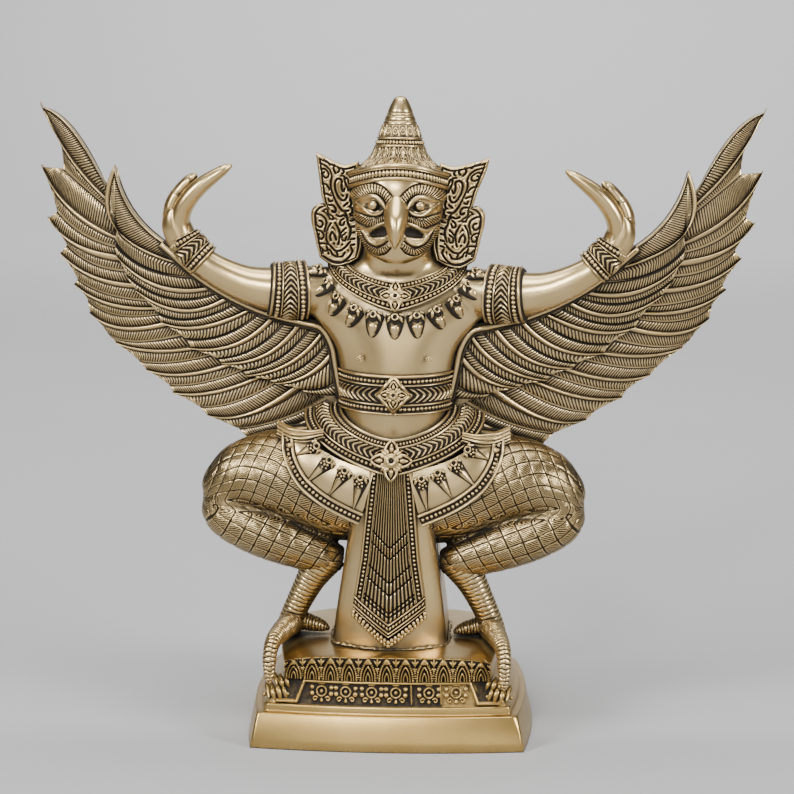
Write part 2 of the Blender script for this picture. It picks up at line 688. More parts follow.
def lay_plate(piece, fan, hang, front, back, steps):
    """The plate under the feathers, with plain quills on its back"""
    turn_back = steps + 2

    def place(u, v):
        s = u * fan.count
        vane = np.minimum(np.floor(s + 1e-6).astype(int), fan.count - 1)
        across = s - vane
        row = v * 2 * turn_back
        out = np.minimum(row, 2 * turn_back - row)
        along = np.clip((out - 1) / steps, 0, 1)
        flat = fan.at(vane, across * 0.999, along)
        y_back = back - 1.4 * across + 0.9 * np.exp(-((across - 0.12) / 0.12) ** 2) * (1 - along * 0.5)
        y = np.where(row > turn_back, y_back, front)
        edge = (out < 0.5) | (np.abs(row - turn_back) < 0.5)
        y = np.where(edge, (front + y_back) / 2, y)
        return hang(flat[:, 0], y, flat[:, 1]), 0.6 * smooth(0.8, 1, across), None
    piece.sheet(6 * fan.count, 2 * turn_back, place, merge=True)


def make_wing(name, side, sweep, droop):
    piece = Piece()
    hang = hung(side, sweep, droop)
    outer, inner = Fan(PRIMARIES, notch=0.04, hollow=3.3), Fan(COVERTS, notch=0.03)
    lay_plate(piece, outer, hang, front=1.6, back=7.0, steps=14)
    lay_plate(piece, inner, hang, front=-2.2, back=4.2, steps=10)
    lay_feathers(piece, outer, hang, front=0.6, behind=4.4, start=0.12)
    lay_feathers(piece, inner, hang, front=-3.6, behind=0.6, start=0.0)
    path = curve(RIM, 90)
    square = unit(np.stack([-np.gradient(path[:, 1]), np.gradient(path[:, 0])], 1))
    cords = (0, -4.8, 1.45, 10, 1.5), (-1.9, -4.4, 0.8, 6, 1.6), (1.9, -4.4, 0.8, 6, 1.6)
    for shift, y, radius, sides, flat in cords:
        line = path + square * shift
        spots = hang(line[:, 0], np.full(90, y), line[:, 1])
        piece.tube(spots, radius, sides=sides, flat=flat, rows=120, deep=0.9 if shift else 0.0)
    table = curve(WEB, 60)
    middle = hang(table[:, 0], np.full(60, 4.8), table[:, 1])

    def web(u, v):
        turn = u * 2 * np.pi
        open_part = (v >= 0) & (v <= 1)
        half = read(table[:, 2:3], v)[:, 0]
        points = read(middle, v) + UP * (np.sin(turn) * half * open_part)[:, None]
        return points + BACK * (np.cos(turn) * 3.6 * open_part)[:, None]
    piece.sheet(16, closed_ends(24), web, merge=True)
    piece.finish(name, chased())


# Body

TORSO = [
    [76, 24, 16, -4], [90, 24.4, 16.8, -4], [104, 24.6, 17, -4], [114, 25.6, 18, -3.5], [132, 27.2, 18.5, -3],
    [141, 29.2, 18.2, -3], [148, 33.5, 18, -2.6], [156, 40.5, 17.4, -2], [164, 44, 16.6, -1], [172, 41.5, 14.6, -0.4],
    [177.5, 33, 12.4, -0.4], [182, 23, 11.6, -1], [186, 17.6, 11.5, -1.6], [196, 15.4, 12.5, -3],
]
SLEEVE = [
    [30, 0, 172, 8, 12], [42, -2, 168.5, 12, 13], [52, -4, 168.2, 11.8, 12.4], [62, -5.5, 168.8, 10.6, 11],
    [72, -7, 171, 9, 9.6], [82, -8, 175.2, 7.9, 8.4], [91, -9, 180.6, 7, 7.6], [99, -9, 188, 6.4, 7],
    [105.4, -9, 202, 5.6, 6],
]


def remeshed(piece, voxel, passes):
    """One smooth skin over the sheets of a piece, as in a casting"""
    mesh = bpy.data.meshes.new("skin")
    piece.bm.to_mesh(mesh)
    piece.bm.free()
    skin = bpy.data.objects.new("skin", mesh)
    bpy.context.scene.collection.objects.link(skin)
    remesh = skin.modifiers.new("remesh", "REMESH")
    remesh.mode = "VOXEL"
    remesh.voxel_size = voxel
    relax = skin.modifiers.new("relax", "SMOOTH")
    relax.factor = 0.5
    relax.iterations = passes
    made = bpy.data.meshes.new_from_object(skin.evaluated_get(bpy.context.evaluated_depsgraph_get()))
    bpy.data.objects.remove(skin)
    bpy.data.meshes.remove(mesh)
    piece.bm = blank(made)[0]
    bpy.data.meshes.remove(made)
    for face in piece.bm.faces:
        face.smooth = True


def make_body():
    piece = Piece()
    piece.limb(upright(TORSO), 60, 48)
    piece.limb(Limb(SLEEVE), 60, 28, both=True)
    neck = upright([[178, 17.5, 12.5, -2], [184, 16.8, 13.5, -3], [192, 16.4, 14.5, -4], [198, 14, 13, -4]])
    nape = upright([[174, 27, 7, 3], [184, 26, 8, 2], [196, 25, 9, 1], [212, 22, 9, 1]])
    piece.limb(neck, 12, 28)
    piece.limb(nape, 14, 32)
    piece.ball((0, -4, 78), (48, 27, 24), columns=48, rows=32)
    piece.ball((0, -2, 93), (38, 16, 15), columns=40, rows=24)
    remeshed(piece, 1.1, 14)
    for way in (-1, 1):
        piece.ring((way * 16.3, -20.6, 138), 1.3, 0.28)
        piece.ball((way * 16.3, -20.9, 138), (0.7, 0.5, 0.7))
    piece.finish("body", polished(), keep=0.33)


BLOCK_ROWS = [
    [0, 27.5, 23, 0, 11], [6, 27.1, 22.9, -0.2, 11], [20, 25.4, 22.4, -0.8, 10.4], [40, 22.6, 21.4, -1.8, 9.6],
    [66, 19, 20, -3, 9.6],
]


def make_block():
    """The block behind the apron, its front bowed towards the viewer"""
    piece = Piece()
    table = curve(BLOCK_ROWS, 60)
    side = np.concatenate([[-1, -0.985, -0.95], np.linspace(-0.85, 0.85, 21), [0.95, 0.985]])
    us = np.concatenate([(k + (side + 1) / 2) / 4 for k in range(4)] + [[1.0]])

    def place(u, v):
        z, a, b, y, bow = read(table, np.clip(v, 0, 1)).T
        quarter = np.minimum((u * 4).astype(int), 3)
        s = (u * 4 - quarter) * 2 - 1
        round_off = 0.9 * smooth(0.94, 1, np.abs(s))
        front = b - round_off
        x = np.choose(quarter, [s * (a - 0.9), a - round_off, -s * (a - 0.9), -a + round_off])
        out = np.choose(quarter, [-front - bow * (1 - np.abs(s) ** 1.7), s * (b - 0.9), front, -s * (b - 0.9)]) + y
        closed = (v < 0) | (v > 1)
        return np.stack([np.where(closed, 0, x), np.where(closed, 0, out), z], 1)
    piece.sheet(us, closed_ends(24), place, merge=True)
    piece.finish("block", satin(), sharp=math.radians(50))


# Head

SKULL = [
    [183.4, 6, 6, -13], [186.5, 13, 13, -8], [192, 17, 18, -5], [200, 20.6, 21.5, -3], [210, 22, 23.5, -2],
    [220, 22.6, 24, -1], [228, 21, 21.5, 0],
]


def hatched(work, line, half, depth, pitch, lean=0.0, cut_half=0.28):
    """Short cuts across a line on a field"""
    path = curve(line, 200)
    length = np.linalg.norm(np.diff(path, axis=0), axis=1).sum()
    count = int(length / pitch)
    step = np.gradient(path, axis=0)
    for i in range(count):
        k = int((i + 0.5) / count * 199)
        along = step[k] / np.linalg.norm(step[k])
        across = np.array([-along[1], along[0]]) + along * lean
        width = np.interp(k / 199, np.linspace(0, 1, len(np.atleast_1d(half))), np.atleast_1d(half))
        work.both([path[k] - across * width, path[k] + across * width], cut_half, depth, power=0.7, cut=True)


def face_work():
    """The face's brows, eyes, mouth and hatched bands on a field of x and height"""
    work = Chasing(ground=0.0)
    brow = [(21.0, 214.6), (16.8, 217.0), (11.5, 218.2), (7.5, 217.3), (4.7, 215.0), (2.6, 211.9)]
    tuft = [(19.3, 205.4), (15.7, 203.8), (12.2, 202.7), (8.3, 203.6), (5.6, 205.3)]
    band = [(18.8, 201.2), (17.3, 196.5), (15.0, 193.1), (12.2, 190.3), (9.0, 189.0), (5.8, 189.8), (3.2, 192.0)]

    def raised(line, count, stops, widths, rise):
        work.both(curve(line, count), np.interp(np.linspace(0, 1, count), stops, widths), rise, power=0.4)
    work.both(curve(brow, 24), np.linspace(2.0, 1.1, 24) + 1.0 * np.sin(np.linspace(0.3, 3, 24)), 1.3, power=0.4)
    work.both(curve(tuft, 20), [0.9] + [2.1] * 8 + [1.7] * 6 + [1.2] * 4 + [0.5], 1.2, power=0.4)
    raised(band, 26, [0, 0.15, 0.6, 1], [0.7, 1.5, 1.9, 1.0], 1.1)
    hatched(work, brow, [2.4, 2.6, 2.3, 1.4], 0.75, 1.15, lean=0.35)
    hatched(work, tuft, [0.4, 1.9, 1.6, 0.6], 0.7, 1.05, lean=-0.5)
    hatched(work, band, [0.5, 1.5, 1.8, 0.9], 0.7, 1.1, lean=-0.25)
    for line, count in (
        ([(21.6, 218.6), (16.8, 220.3), (11.5, 221.2), (7, 219.9), (3.6, 217.2), (0.6, 213.6)], 24),
        ([(20.6, 211.6), (16.6, 213.7), (13.2, 215.6), (10.2, 216.3), (6.6, 214.7), (3.6, 209.6)], 24),
        ([(20.4, 207.2), (16.5, 206.3), (12.2, 205.3), (8.2, 205.8), (5.6, 207)], 16),
        ([(20.2, 202.9), (15.4, 200.9), (12, 200.1), (8.3, 201.6), (5.6, 203.6)], 16),
        ([(19.9, 202.2), (18.4, 195.7), (14.2, 190.4), (9.7, 187.2), (5, 188.1), (2.3, 191)], 24),
        ([(17.2, 200.3), (15.4, 195.5), (12.6, 192.3), (9.4, 191), (6, 192.2), (3.8, 194.2)], 24),
    ):
        work.both(curve(line, count), 0.36, 0.8, power=0.8, cut=True)
    # The eye: its socket and corners, lids and ball
    work.both([(10.6, 210.5)], 2.65, 1.5, power=0.6, cut=True, dark=0.9)
    work.both([(14.0, 210.4), (7.2, 209.6)], 1.5, 0.8, power=0.6, cut=True, dark=0.5)
    raised([(19.6, 212.0), (15.7, 213.7), (13.2, 214.7), (10.4, 215.1), (7.4, 213.2), (4.9, 209.4)], 20,
           [0, 0.3, 0.8, 1], [0.3, 1.1, 1.1, 0.4], 1.5)
    raised([(19.0, 211.6), (15.4, 209.0), (13.4, 207.3), (10.8, 206.4), (7.5, 207.2), (5.9, 208.7)], 18,
           [0, 0.3, 0.9, 1], [0.3, 0.85, 0.75, 0.3], 1.3)
    work.both([(10.9, 210.9)], 2.2, 2.2, power=0.5)
    # The mouth's hollow and lips
    work.both([(11.8, 196.8), (9.2, 197.8), (6.4, 198.6)], [1.5, 2.5, 2.9], 1.9, power=0.8, cut=True, dark=0.85)
    raised([(18.4, 201.3), (15.2, 199.3), (12.2, 199.5), (8.2, 201.6), (5.4, 202.9)], 16,
           [0, 0.4, 1], [0.3, 0.9, 0.7], 1.2)
    raised([(17.0, 200.2), (14.6, 197.0), (13.4, 194.8), (11.5, 193.0), (9.3, 192.4), (6.3, 193.6), (4.3, 195.6)], 20,
           [0, 0.3, 0.8, 1], [0.3, 0.85, 0.85, 0.4], 1.2)
    return work


def make_head():
    piece = Piece()
    skull = upright(SKULL)
    work = face_work()

    def lift(share, turn):
        base = skull.at(share, turn)
        height, deep = np.zeros_like(share), np.zeros_like(share)
        front = np.cos(turn) < 0.1
        height[front], deep[front] = work.at(base[front, 0], base[front, 2])
        return height, deep
    us = np.concatenate([np.linspace(0, 0.26, 10), np.linspace(0.27, 0.73, 230), np.linspace(0.74, 1, 10)])
    piece.limb(skull, 189, us, lift=lift)
    beak = Limb([
        [0, -21, 219, 0.8, 1], [0, -22.8, 215, 3.6, 2.6], [0, -24.6, 210, 5.6, 4.6], [0, -26.2, 205.5, 5.6, 6.2],
        [0, -27.6, 200.5, 4.6, 6.2], [0, -28.9, 196, 3.1, 4.6], [0, -30.4, 193, 1.6, 2.6], [0, -31.4, 191.2, 0.4, 0.7],
    ], upright=True)

    def hooked(u, v):
        turn = u * 2 * np.pi
        share = np.clip(v, 0, 1)
        front = np.maximum(-np.cos(turn), 0)
        points = beak.at(share, turn)
        points[:, 0] *= 1 - 0.1 * front
        points[:, 1] -= front ** 2 * 0.12 * read(beak.table, share)[:, 4]
        past = (v < 0) | (v > 1)
        points[past] = read(beak.table, share[past])[:, :3]
        return points
    piece.sheet(56, closed_ends(60), hooked, merge=True)
    piece.finish("head", satin(), keep=0.55)


# Crown

CROWN = [
    (0.05, 261.15), (1.6, 260.95), (2.9, 260.05), (4.4, 257.6), (6.3, 253.1), (8, 248.6), (9.8, 243.6), (11.4, 238.8),
    (13.2, 234.6), (16.4, 231.4), (20.8, 229.3), (24.2, 228), (24.9, 226.4), (24.3, 225.7), (24.4, 222.6),
    (25, 221.8), (24.6, 220.8), (21.5, 220.3),
]


def crown_work(angle, z):
    """Rings, beads, scrolls and petals round the crown"""
    height, deep = np.zeros_like(z), np.zeros_like(z)
    for middle in (253.4, 252.2, 249.6, 247.9):
        form = np.maximum(0, 1 - ((z - middle) / 0.28) ** 2)
        height -= 0.4 * form
        deep = np.maximum(deep, 0.8 * form)

    def band(low, high, form):
        nonlocal height, deep
        inside = (z > low) & (z < high)
        height = np.where(inside, form[0] - 0.25, height)
        deep = np.where(inside, form[1] * 0.95, deep)

    def rail(low, high, middle, half, rise):
        form = np.maximum(0, 1 - ((z - middle) / half) ** 2) ** 0.5
        band(low, high, (rise * form, 1 - form))

    def repeat(count):
        return (angle / (2 * np.pi) * count) % 1 - 0.5

    cell = repeat(16)
    off = np.hypot(cell * 4.2, z - 244.9)
    rings = np.maximum(np.exp(-((off - 1.35) / 0.42) ** 2), np.exp(-(off / 0.5) ** 2))
    leaf = np.exp(-(((np.abs(cell) - 0.5) * 4.2) / 0.5) ** 2)
    form = np.clip(np.maximum(rings, leaf), 0, 1)
    band(242.3, 247.5, (0.5 * form, 0.8 * (1 - form)))
    rail(240.9, 242.3, 241.5, 0.6, 0.8)
    bead = rows_of_work(repeat(44) * 1.75 + 0.875, z, [("beads", 239.6, 0.92, 1.75, 0.9)])
    band(238.5, 240.9, bead)
    rail(237.3, 238.5, 237.9, 0.6, 0.8)

    def petals(count, low, high, rise):
        cell = np.abs(repeat(count)) * 2
        up = (z - low) / (high - low)
        edge = np.sqrt(np.clip(1 - up ** 2, 0, 1)) * 0.98
        form = np.clip((edge - cell) / 0.35, 0, 1)
        inner = np.exp(-((cell - edge * 0.5) / 0.13) ** 2) * (up < 0.72)
        heart = np.exp(-((cell / 0.2) ** 2 + ((up - 0.3) / 0.16) ** 2))
        form = np.clip(form * (1 - 0.75 * inner) + 0.3 * heart, 0, 1)
        behind = np.clip(0.5 - np.abs(cell - 1) * 2.2, 0, 0.4) * (up > 0.25)
        form = np.maximum(form, behind)
        return rise * form, 1 - np.clip(form * 1.2, 0, 1)
    rise, dark = petals(18, 233.9, 237.4, 0.6)
    band(233.9, 237.3, (rise, 0.75 * dark))
    rise, dark = petals(20, 229.1, 234.4, 0.8)
    cell = np.abs(repeat(20)) * 2
    ring = np.hypot(cell * 3.2, (z - 230.9) * 1.35)
    circle = np.maximum(np.exp(-((ring - 1.5) / 0.4) ** 2), np.exp(-(ring / 0.6) ** 2))
    near = ring < 2.1
    band(229.1, 233.9, (np.where(near, circle, rise), np.where(near, 1 - circle, 0.8 * dark)))
    rail(226.6, 228.6, 227.6, 0.95, 1.1)
    bead = rows_of_work(repeat(84) * 1.85 + 0.925, 224.2 + (z - 224.2) * 0.62, [("beads", 224.2, 0.96, 1.85, 0.9)])
    band(222.5, 226.0, bead)
    return height, deep


def make_crown():
    piece = Piece()
    outline = np.vstack([[0, 261.17], curve(CROWN, 400), [0, 220.3]])
    heights = np.concatenate([[261.17], np.linspace(261.14, 254, 14), np.linspace(253.8, 229, 110),
                              np.linspace(228.8, 220.4, 44)])
    length = np.concatenate([[0], np.cumsum(np.linalg.norm(np.diff(outline, axis=0), axis=1))])
    run = length / length[-1]
    shares = np.interp(-heights, -outline[:, 1], run)
    vs = np.unique(np.concatenate([[0.0], shares, np.linspace(shares[-1], 1, 5)]))

    def turned(v):
        return np.stack([np.interp(v, run, outline[:, k]) for k in (0, 1)], 1)

    def place(u, v):
        angle = u * 2 * np.pi
        spot = turned(v)
        slope = unit(turned(v + 1e-3) - turned(v - 1e-3))
        height, deep = crown_work(angle, spot[:, 1])
        height = height * np.clip(spot[:, 0] / 3, 0, 1)
        radius = spot[:, 0] - slope[:, 1] * height
        z = spot[:, 1] + slope[:, 0] * height
        # The brim rises over the brow and dips towards the ears and the back
        z = z + smooth(9, 24, radius) * np.where(np.cos(angle) > 0, 1.9 - 5.4 * np.sin(angle) ** 2, -3.5)
        return np.stack([radius * np.sin(angle), -radius * np.cos(angle), z], 1), deep, None
    piece.sheet(in_runs((0.28, 240), (0.72, 90), (1, 240)), vs, place, merge=True)
    piece.finish("crown", chased(), keep=0.47)


# Ears

# The sides of an ear's upper flap and of its lobe: inner, outer, top and bottom
FLAP_SIDES = (
    [(19.5, 230.2), (17.5, 222), (17.5, 212), (20, 201)],
    [(39.4, 234), (38.4, 227), (37.3, 219), (36.2, 212.4), (34.2, 207.6), (28.5, 201)],
    [(19.5, 230.2), (26, 228.4), (32.4, 230.6), (39.4, 234)],
    [(20, 201), (24, 200.4), (28.5, 201)],
)
LOBE_SIDES = (
    [(18.5, 204.5), (16.5, 198), (16.5, 191), (18.5, 184.6)],
    [(33, 207.8), (37.2, 210), (40.8, 207.4), (41.2, 202), (39.8, 196), (38.6, 190.5), (37, 184.4)],
    [(18.5, 204.5), (23, 204.4), (28, 205.4), (33, 207.8)],
    [(18.5, 184.6), (23.5, 181.6), (29.6, 180.3), (37, 184.4)],
)


def ear_work():
    """Cuts that shape the scrolls of an ear, on a field of x and height"""
    work = Chasing(ground=0.0)

    def cut(points, half=0.62, depth=1.5):
        path = curve(points, 5 * len(points)) if len(points) > 2 else np.array(points, float)
        swell = half * (0.55 + 0.45 * np.sin(np.linspace(0.25, math.pi - 0.25, len(path))))
        work.stroke(path, swell, depth, power=0.6, cut=True)
    for line in (
        [(37.3, 229.1), (34.4, 227.8), (32.5, 225.6), (31.7, 222.6), (32.1, 220.1), (32, 217.8), (31.1, 214.9),
         (29.7, 211.6), (27.6, 208.3), (26, 206.8), (23.5, 207)],
        [(36.7, 226.1), (35.1, 226.5), (33.3, 224.8), (33.1, 223.2), (34.4, 222.3), (35.6, 223), (36.1, 224.3),
         (35.3, 224.9)],
        [(36.2, 219.5), (34.2, 219.1), (33.1, 217.8), (32.6, 216.6)],
        [(34.8, 214.9), (32.9, 214.3), (31.8, 213.8)],
        [(33.1, 212.3), (32.6, 211.2), (31.1, 211.6)],
        [(32.9, 209.5), (30.7, 209.2), (29.5, 207.5), (30, 206), (31.3, 206.7)],
        [(26.6, 220.4), (27.3, 221.7), (28.9, 221.9), (30, 220.1), (29.8, 216.7), (28.9, 214.5), (27.7, 212.7),
         (26, 211.7), (24.6, 212.7), (24.2, 214.5)],
        [(26.6, 220.4), (26.9, 218.2), (26, 216), (25.4, 217.4)],
        [(25.3, 220.4), (24.2, 218.2), (23.4, 216.6)],
        [(27.1, 223.4), (25.7, 223), (25.3, 220.8)],
        [(24.6, 222.4), (23.2, 220), (22.4, 216)],
        [(30.4, 228.5), (30.8, 226.3), (29.7, 224.5)],
        [(28.6, 227.4), (28, 226), (28.8, 224.9)],
        [(26.6, 226.6), (26, 225.4), (26.6, 224.4)],
        [(24, 210.6), (25.6, 209.2)],
        [(35.6, 231), (33.6, 229.9), (32.6, 228.4)],
        [(29.2, 205), (27.4, 204.2), (25.4, 204.6), (24, 203.2)],
    ):
        cut(line)
    for line in (
        [(39.3, 205.3), (39.1, 202.7), (38.5, 200.1), (36.9, 199), (35.6, 200.1), (36.2, 201.8), (37.3, 202)],
        [(39.3, 205.3), (36.9, 204.9), (34.7, 203.5), (33.8, 201.2), (34.2, 199), (34.7, 196.8)],
        [(38.7, 197.6), (36.9, 197.2), (35.3, 196.1), (35.1, 194.2), (36.5, 193.3), (37.6, 194.6), (37.3, 195.7)],
        [(29.7, 201.2), (28.2, 198.7), (27.3, 196.1), (27.7, 193.1), (28.2, 190.9)],
        [(31.8, 200.9), (33.1, 198.7), (33.8, 196.1), (33.8, 193.1), (33, 191.4)],
        [(31.1, 196.8), (32, 195), (31.7, 192.8)],
        [(31.1, 196.8), (29.7, 195), (29.1, 193.1)],
        [(25.7, 203.3), (27.1, 202), (27.3, 200.3), (26, 200.1), (25.3, 201.6)],
        [(24.6, 198.7), (26.4, 196.8), (27.1, 196.1)],
        [(24.6, 196.5), (26.4, 195), (26.2, 193.1), (24.9, 192.8), (24.2, 194.6)],
        [(25.1, 206), (23.9, 203.5), (23.5, 201.2), (22.4, 199), (22.4, 196.1), (23.5, 193.1)],
        [(37.5, 191.2), (34.4, 191.2), (31.8, 190.2), (29.7, 188), (27.1, 188), (24.6, 189.8), (22.4, 192.4)],
        [(36.2, 189), (34.4, 187.6), (32.2, 188.3), (30.7, 186.1), (28.2, 185), (26, 185.4), (24.9, 187.2)],
        [(35.1, 185.2), (32.6, 183.7), (29.7, 182.6), (26, 182.6), (23.1, 184.8), (21.3, 187.8), (21.9, 189.6)],
        [(33.6, 190), (32.6, 186.4)], [(28.8, 187.4), (28.4, 185.8)], [(35.6, 188), (35.4, 186.6)],
    ):
        cut(line, half=0.64)
    for k, z in enumerate((202.2, 199.2, 196.4, 193.4, 190.6)):
        cut([(22.6 - 0.1 * k, z), (20.4, z + 0.5)], half=0.6)
    return work


def patch(sides, u, v):
    """A place inside four joined curves: inner, outer, top and bottom"""
    inner, outer, top, bottom = (curve(line, 120) for line in sides)
    across, down = u[:, None], v[:, None]
    corners = ((inner[0] * (1 - across) + outer[0] * across) * (1 - down)
               + (inner[-1] * (1 - across) + outer[-1] * across) * down)
    return (read(inner, v) * (1 - across) + read(outer, v) * across + read(top, u) * (1 - down)
            + read(bottom, u) * down - corners)


def lay_ear(piece, work, sides, way, wider, front, back, columns, rows):
    """A plate with scrolls cut in its front, a raised border and a plain back; wider draws its top corner out"""
    us = np.concatenate([[0, 0], np.linspace(0, 1, columns), [1, 1]])
    vs = np.concatenate([[0, 0], np.linspace(0, 1, rows), [1, 1]])

    def spread(flat, y):
        stretch = wider * smooth(25, 39, flat[:, 0]) * smooth(212, 232, flat[:, 1])
        return np.stack([way * (flat[:, 0] + stretch), y, flat[:, 1] - 0.25 * stretch], 1)

    def carved(u, v):
        column = np.rint(u * (len(us) - 1)).astype(int)
        row = np.rint(v * (len(vs) - 1)).astype(int)
        u, v = us[column], vs[row]
        flat = patch(sides, u, v)
        rim = np.minimum.reduce([u, 1 - u, 1.4 * v, 1.4 * (1 - v)]) * 22
        border = np.where(rim < 1.9, np.minimum(1.9 - rim, 1.0), rim - 1.9)
        away = np.minimum(work.away(flat[:, 0], flat[:, 1]), border)
        wave = 0.5 - 0.5 * np.cos(np.pi * np.minimum(away, 3.0))
        deep = (1 - smooth(0.12, 0.62, wave)) * np.where(away < 1, 1.0, 0.75)
        y = front + 1.4 * (1 - wave ** 0.6) + 1.4 * (1 - smooth(0, 1.2, rim))
        from_edge = np.minimum.reduce([column, len(us) - 1 - column, row, len(vs) - 1 - row])
        y = np.where(from_edge == 1, front + 3.2, np.where(from_edge == 0, back, y))
        return spread(flat, y), deep * (from_edge > 1), None
    piece.sheet(len(us) - 1, len(vs) - 1, carved, facing=FRONT)
    piece.sheet(columns - 1, rows - 1, lambda u, v: spread(patch(sides, u, v), np.full_like(u, back)), facing=BACK)


def make_ears():
    piece = Piece()
    work = ear_work()
    for sides, front, back, columns, rows in ((FLAP_SIDES, -8.2, 1.2, 84, 130), (LOBE_SIDES, -9.2, 0.2, 92, 112)):
        for way, wider in ((-1, 0.0), (1, 3.4)):
            lay_ear(piece, work, sides, way, wider, front, back, columns, rows)
    bmesh.ops.remove_doubles(piece.bm, verts=piece.bm.verts, dist=0.004)
    piece.finish("ears", chased(), keep=0.32)


# Legs

THIGH = [
    [8, -4, 76, 29, 22], [22, -5, 75, 28.5, 22.5], [34, -6, 75.5, 27, 22.5], [46, -7.6, 77.6, 24, 21.6],
    [56, -9, 79.5, 21.6, 20.8], [65, -10.2, 79, 19.8, 19.2], [73, -11, 77.3, 17.6, 17], [80, -11.6, 74, 14.4, 14],
    [85.6, -12, 71, 10.4, 10.6], [89.6, -12, 68, 4.8, 5.4],
]
CALF = [
    [88.6, -12, 68, 4.8, 5.6], [85.5, -12.5, 64.4, 9, 9.4], [80, -13.2, 60.2, 11.8, 12], [68, -14, 54.5, 13, 13.6],
    [54, -14, 48.8, 12.6, 13], [41, -13, 43.6, 11, 11], [31, -12, 39.8, 9.4, 9.4], [24, -11, 38.6, 5.5, 6.5],
]


def net_plan(points):
    """Where each point of a leg lies on its net: round the limb from its front, and along it, in millimetres"""
    x, y, z = np.abs(points[:, 0]), points[:, 1], points[:, 2]
    rounds, middles = [], []
    for rows, radius in ((THIGH, 20.0), (CALF, 13.5)):
        rows = np.array(sorted(rows))
        middle, back = np.interp(x, rows[:, 0], rows[:, 2]), np.interp(x, rows[:, 0], rows[:, 1])
        rounds.append(radius * np.arctan2(z - middle, back - y))
        middles.append(middle)
    slope = np.where(x < 70, 0.45 * x, 31.5 + 0.28 * (x - 70))
    upper = smooth(-3, 3, z - 0.45 * middles[0] - 0.55 * middles[1])
    around = rounds[1] * (1 - upper) + rounds[0] * upper
    return np.stack([around + 40 - (slope - 35.7) * upper, x + 0.4 * around], 1)


def make_leg(side, name):
    """Thigh and calf smoothed into one leg with a round knee, and its net cut in"""
    piece = Piece()
    for rows in (THIGH, CALF):
        piece.limb(Limb([[side * row[0], *row[1:]] for row in rows]), 80, 72)
    piece.ball((side * 79.5, -12.2, 66.4), (12.8, 12.4, 14.6), columns=32, rows=24)
    remeshed(piece, 0.66, 2)
    body = piece.bm
    knee = [v for v in body.verts if abs(v.co.x) > 71]
    for _ in range(14):
        bmesh.ops.smooth_vert(body, verts=knee, factor=0.5, use_axis_x=True, use_axis_y=True, use_axis_z=True)
    body.normal_update()
    plan = net_plan(np.array([v.co[:] for v in body.verts]))
    groove = np.zeros(len(plan))
    for lines, pitch in zip(plan.T, net_pitches()):
        off = np.abs(lines / pitch - np.rint(lines / pitch)) * pitch
        groove = np.maximum(groove, np.maximum(0, 1 - (off / 0.9) ** 2))
    recess, uv = body.verts.layers.float["recess"], body.loops.layers.uv["plan"]
    for k, vert in enumerate(body.verts):
        vert.co -= vert.normal * (0.32 * groove[k])
        vert[recess] = 0.45 * groove[k]
    for face in body.faces:
        for loop in face.loops:
            loop[uv].uv = plan[loop.vert.index]
    piece.finish(name, netted(), keep=0.34)


def make_shins():
    piece = Piece()
    count = sizes().shin_rings
    shin = Limb([
        [31.4, -12, 41, 9.8, 9.4], [35.2, -11.8, 35.4, 8.8, 8.8], [39.4, -11, 28, 7.2, 7.8], [43.4, -10.2, 20, 6.4, 7],
        [46.8, -9.6, 12.6, 6, 6.7], [49.2, -9.2, 6, 6.1, 6.6], [50.4, -9.4, 1.2, 6, 6.4],
    ])

    def ringed(count, depth, swell):
        def lift(share, turn):
            wave = (share * count + 0.3 * np.sin(turn) + 0.12 * np.sin(turn * 3 + share * 40)) % 1
            dip = np.maximum(0, 1 - (np.minimum(wave, 1 - wave) / 0.17) ** 2)
            return swell * np.sin(wave * np.pi) ** 0.6 - depth * dip, dip
        return lift
    piece.limb(shin, count * 9, 44, both=True, lift=ringed(count, 0.32, 0.1))
    back_toe = Limb([
        [50, -7.5, 8.4, 5, 5.4], [44.5, -6.6, 6.2, 4.8, 5], [40, -6.2, 4.9, 4.2, 4.6], [36, -6.2, 4, 3.5, 4],
        [32.8, -6.4, 2.9, 2.4, 3], [30.4, -6.6, 1.9, 0.7, 1],
    ])
    piece.limb(back_toe, 112, 32, both=True, lift=ringed(13, 0.28, 0.1))
    long_toe = Limb([
        [47, 0, 5.4, 5.4, 5.8], [49, -14, 6.1, 5.7, 5.7], [50.6, -22, 6.2, 5.2, 5.2], [51.8, -28.25, 6.1, 4.8, 4.8],
        [53.2, -36, 5.8, 4.2, 4.2], [54.2, -41.25, 5, 3.8, 3.8], [55, -46, 2.4, 3.4, 3.4],
        [55.3, -48.4, -1.4, 3, 3.2], [55.4, -49.2, -6, 2.6, 2.8], [55.4, -49.2, -10.4, 2, 2.2],
        [55.4, -49, -13.4, 0.7, 0.8],
    ], lean=np.array([1.0, 0.05, 0.12]))
    piece.limb(long_toe, 290, 32, both=True, lift=ringed(34, 0.5, 0.2))
    piece.finish("shins", chased(), keep=0.50)


# Collar, belts, bands and pendants

def plate(piece, outline, front, back, edge, recess):
    """A flat plate with a rounded edge, from an outline in x and z"""
    part, _, deep = blank()
    loop = [part.verts.new((x, front, z)) for x, z in outline]
    face = part.faces.new(loop)
    made = bmesh.ops.extrude_face_region(part, geom=[face])
    for item in made["geom"]:
        if isinstance(item, bmesh.types.BMVert):
            item.co.y = back
    bmesh.ops.recalc_face_normals(part, faces=part.faces)
    rims = [e for e in part.edges if abs(e.verts[0].co.y - e.verts[1].co.y) < 0.01]
    bmesh.ops.bevel(part, geom=rims, offset=edge, offset_type="OFFSET", segments=3, profile=0.5, affect="EDGES",
                    material=-1)
    for vert in part.verts:
        vert[deep] = recess if vert.co.y < front + 0.2 else 0.2 * recess
    piece.take(part)


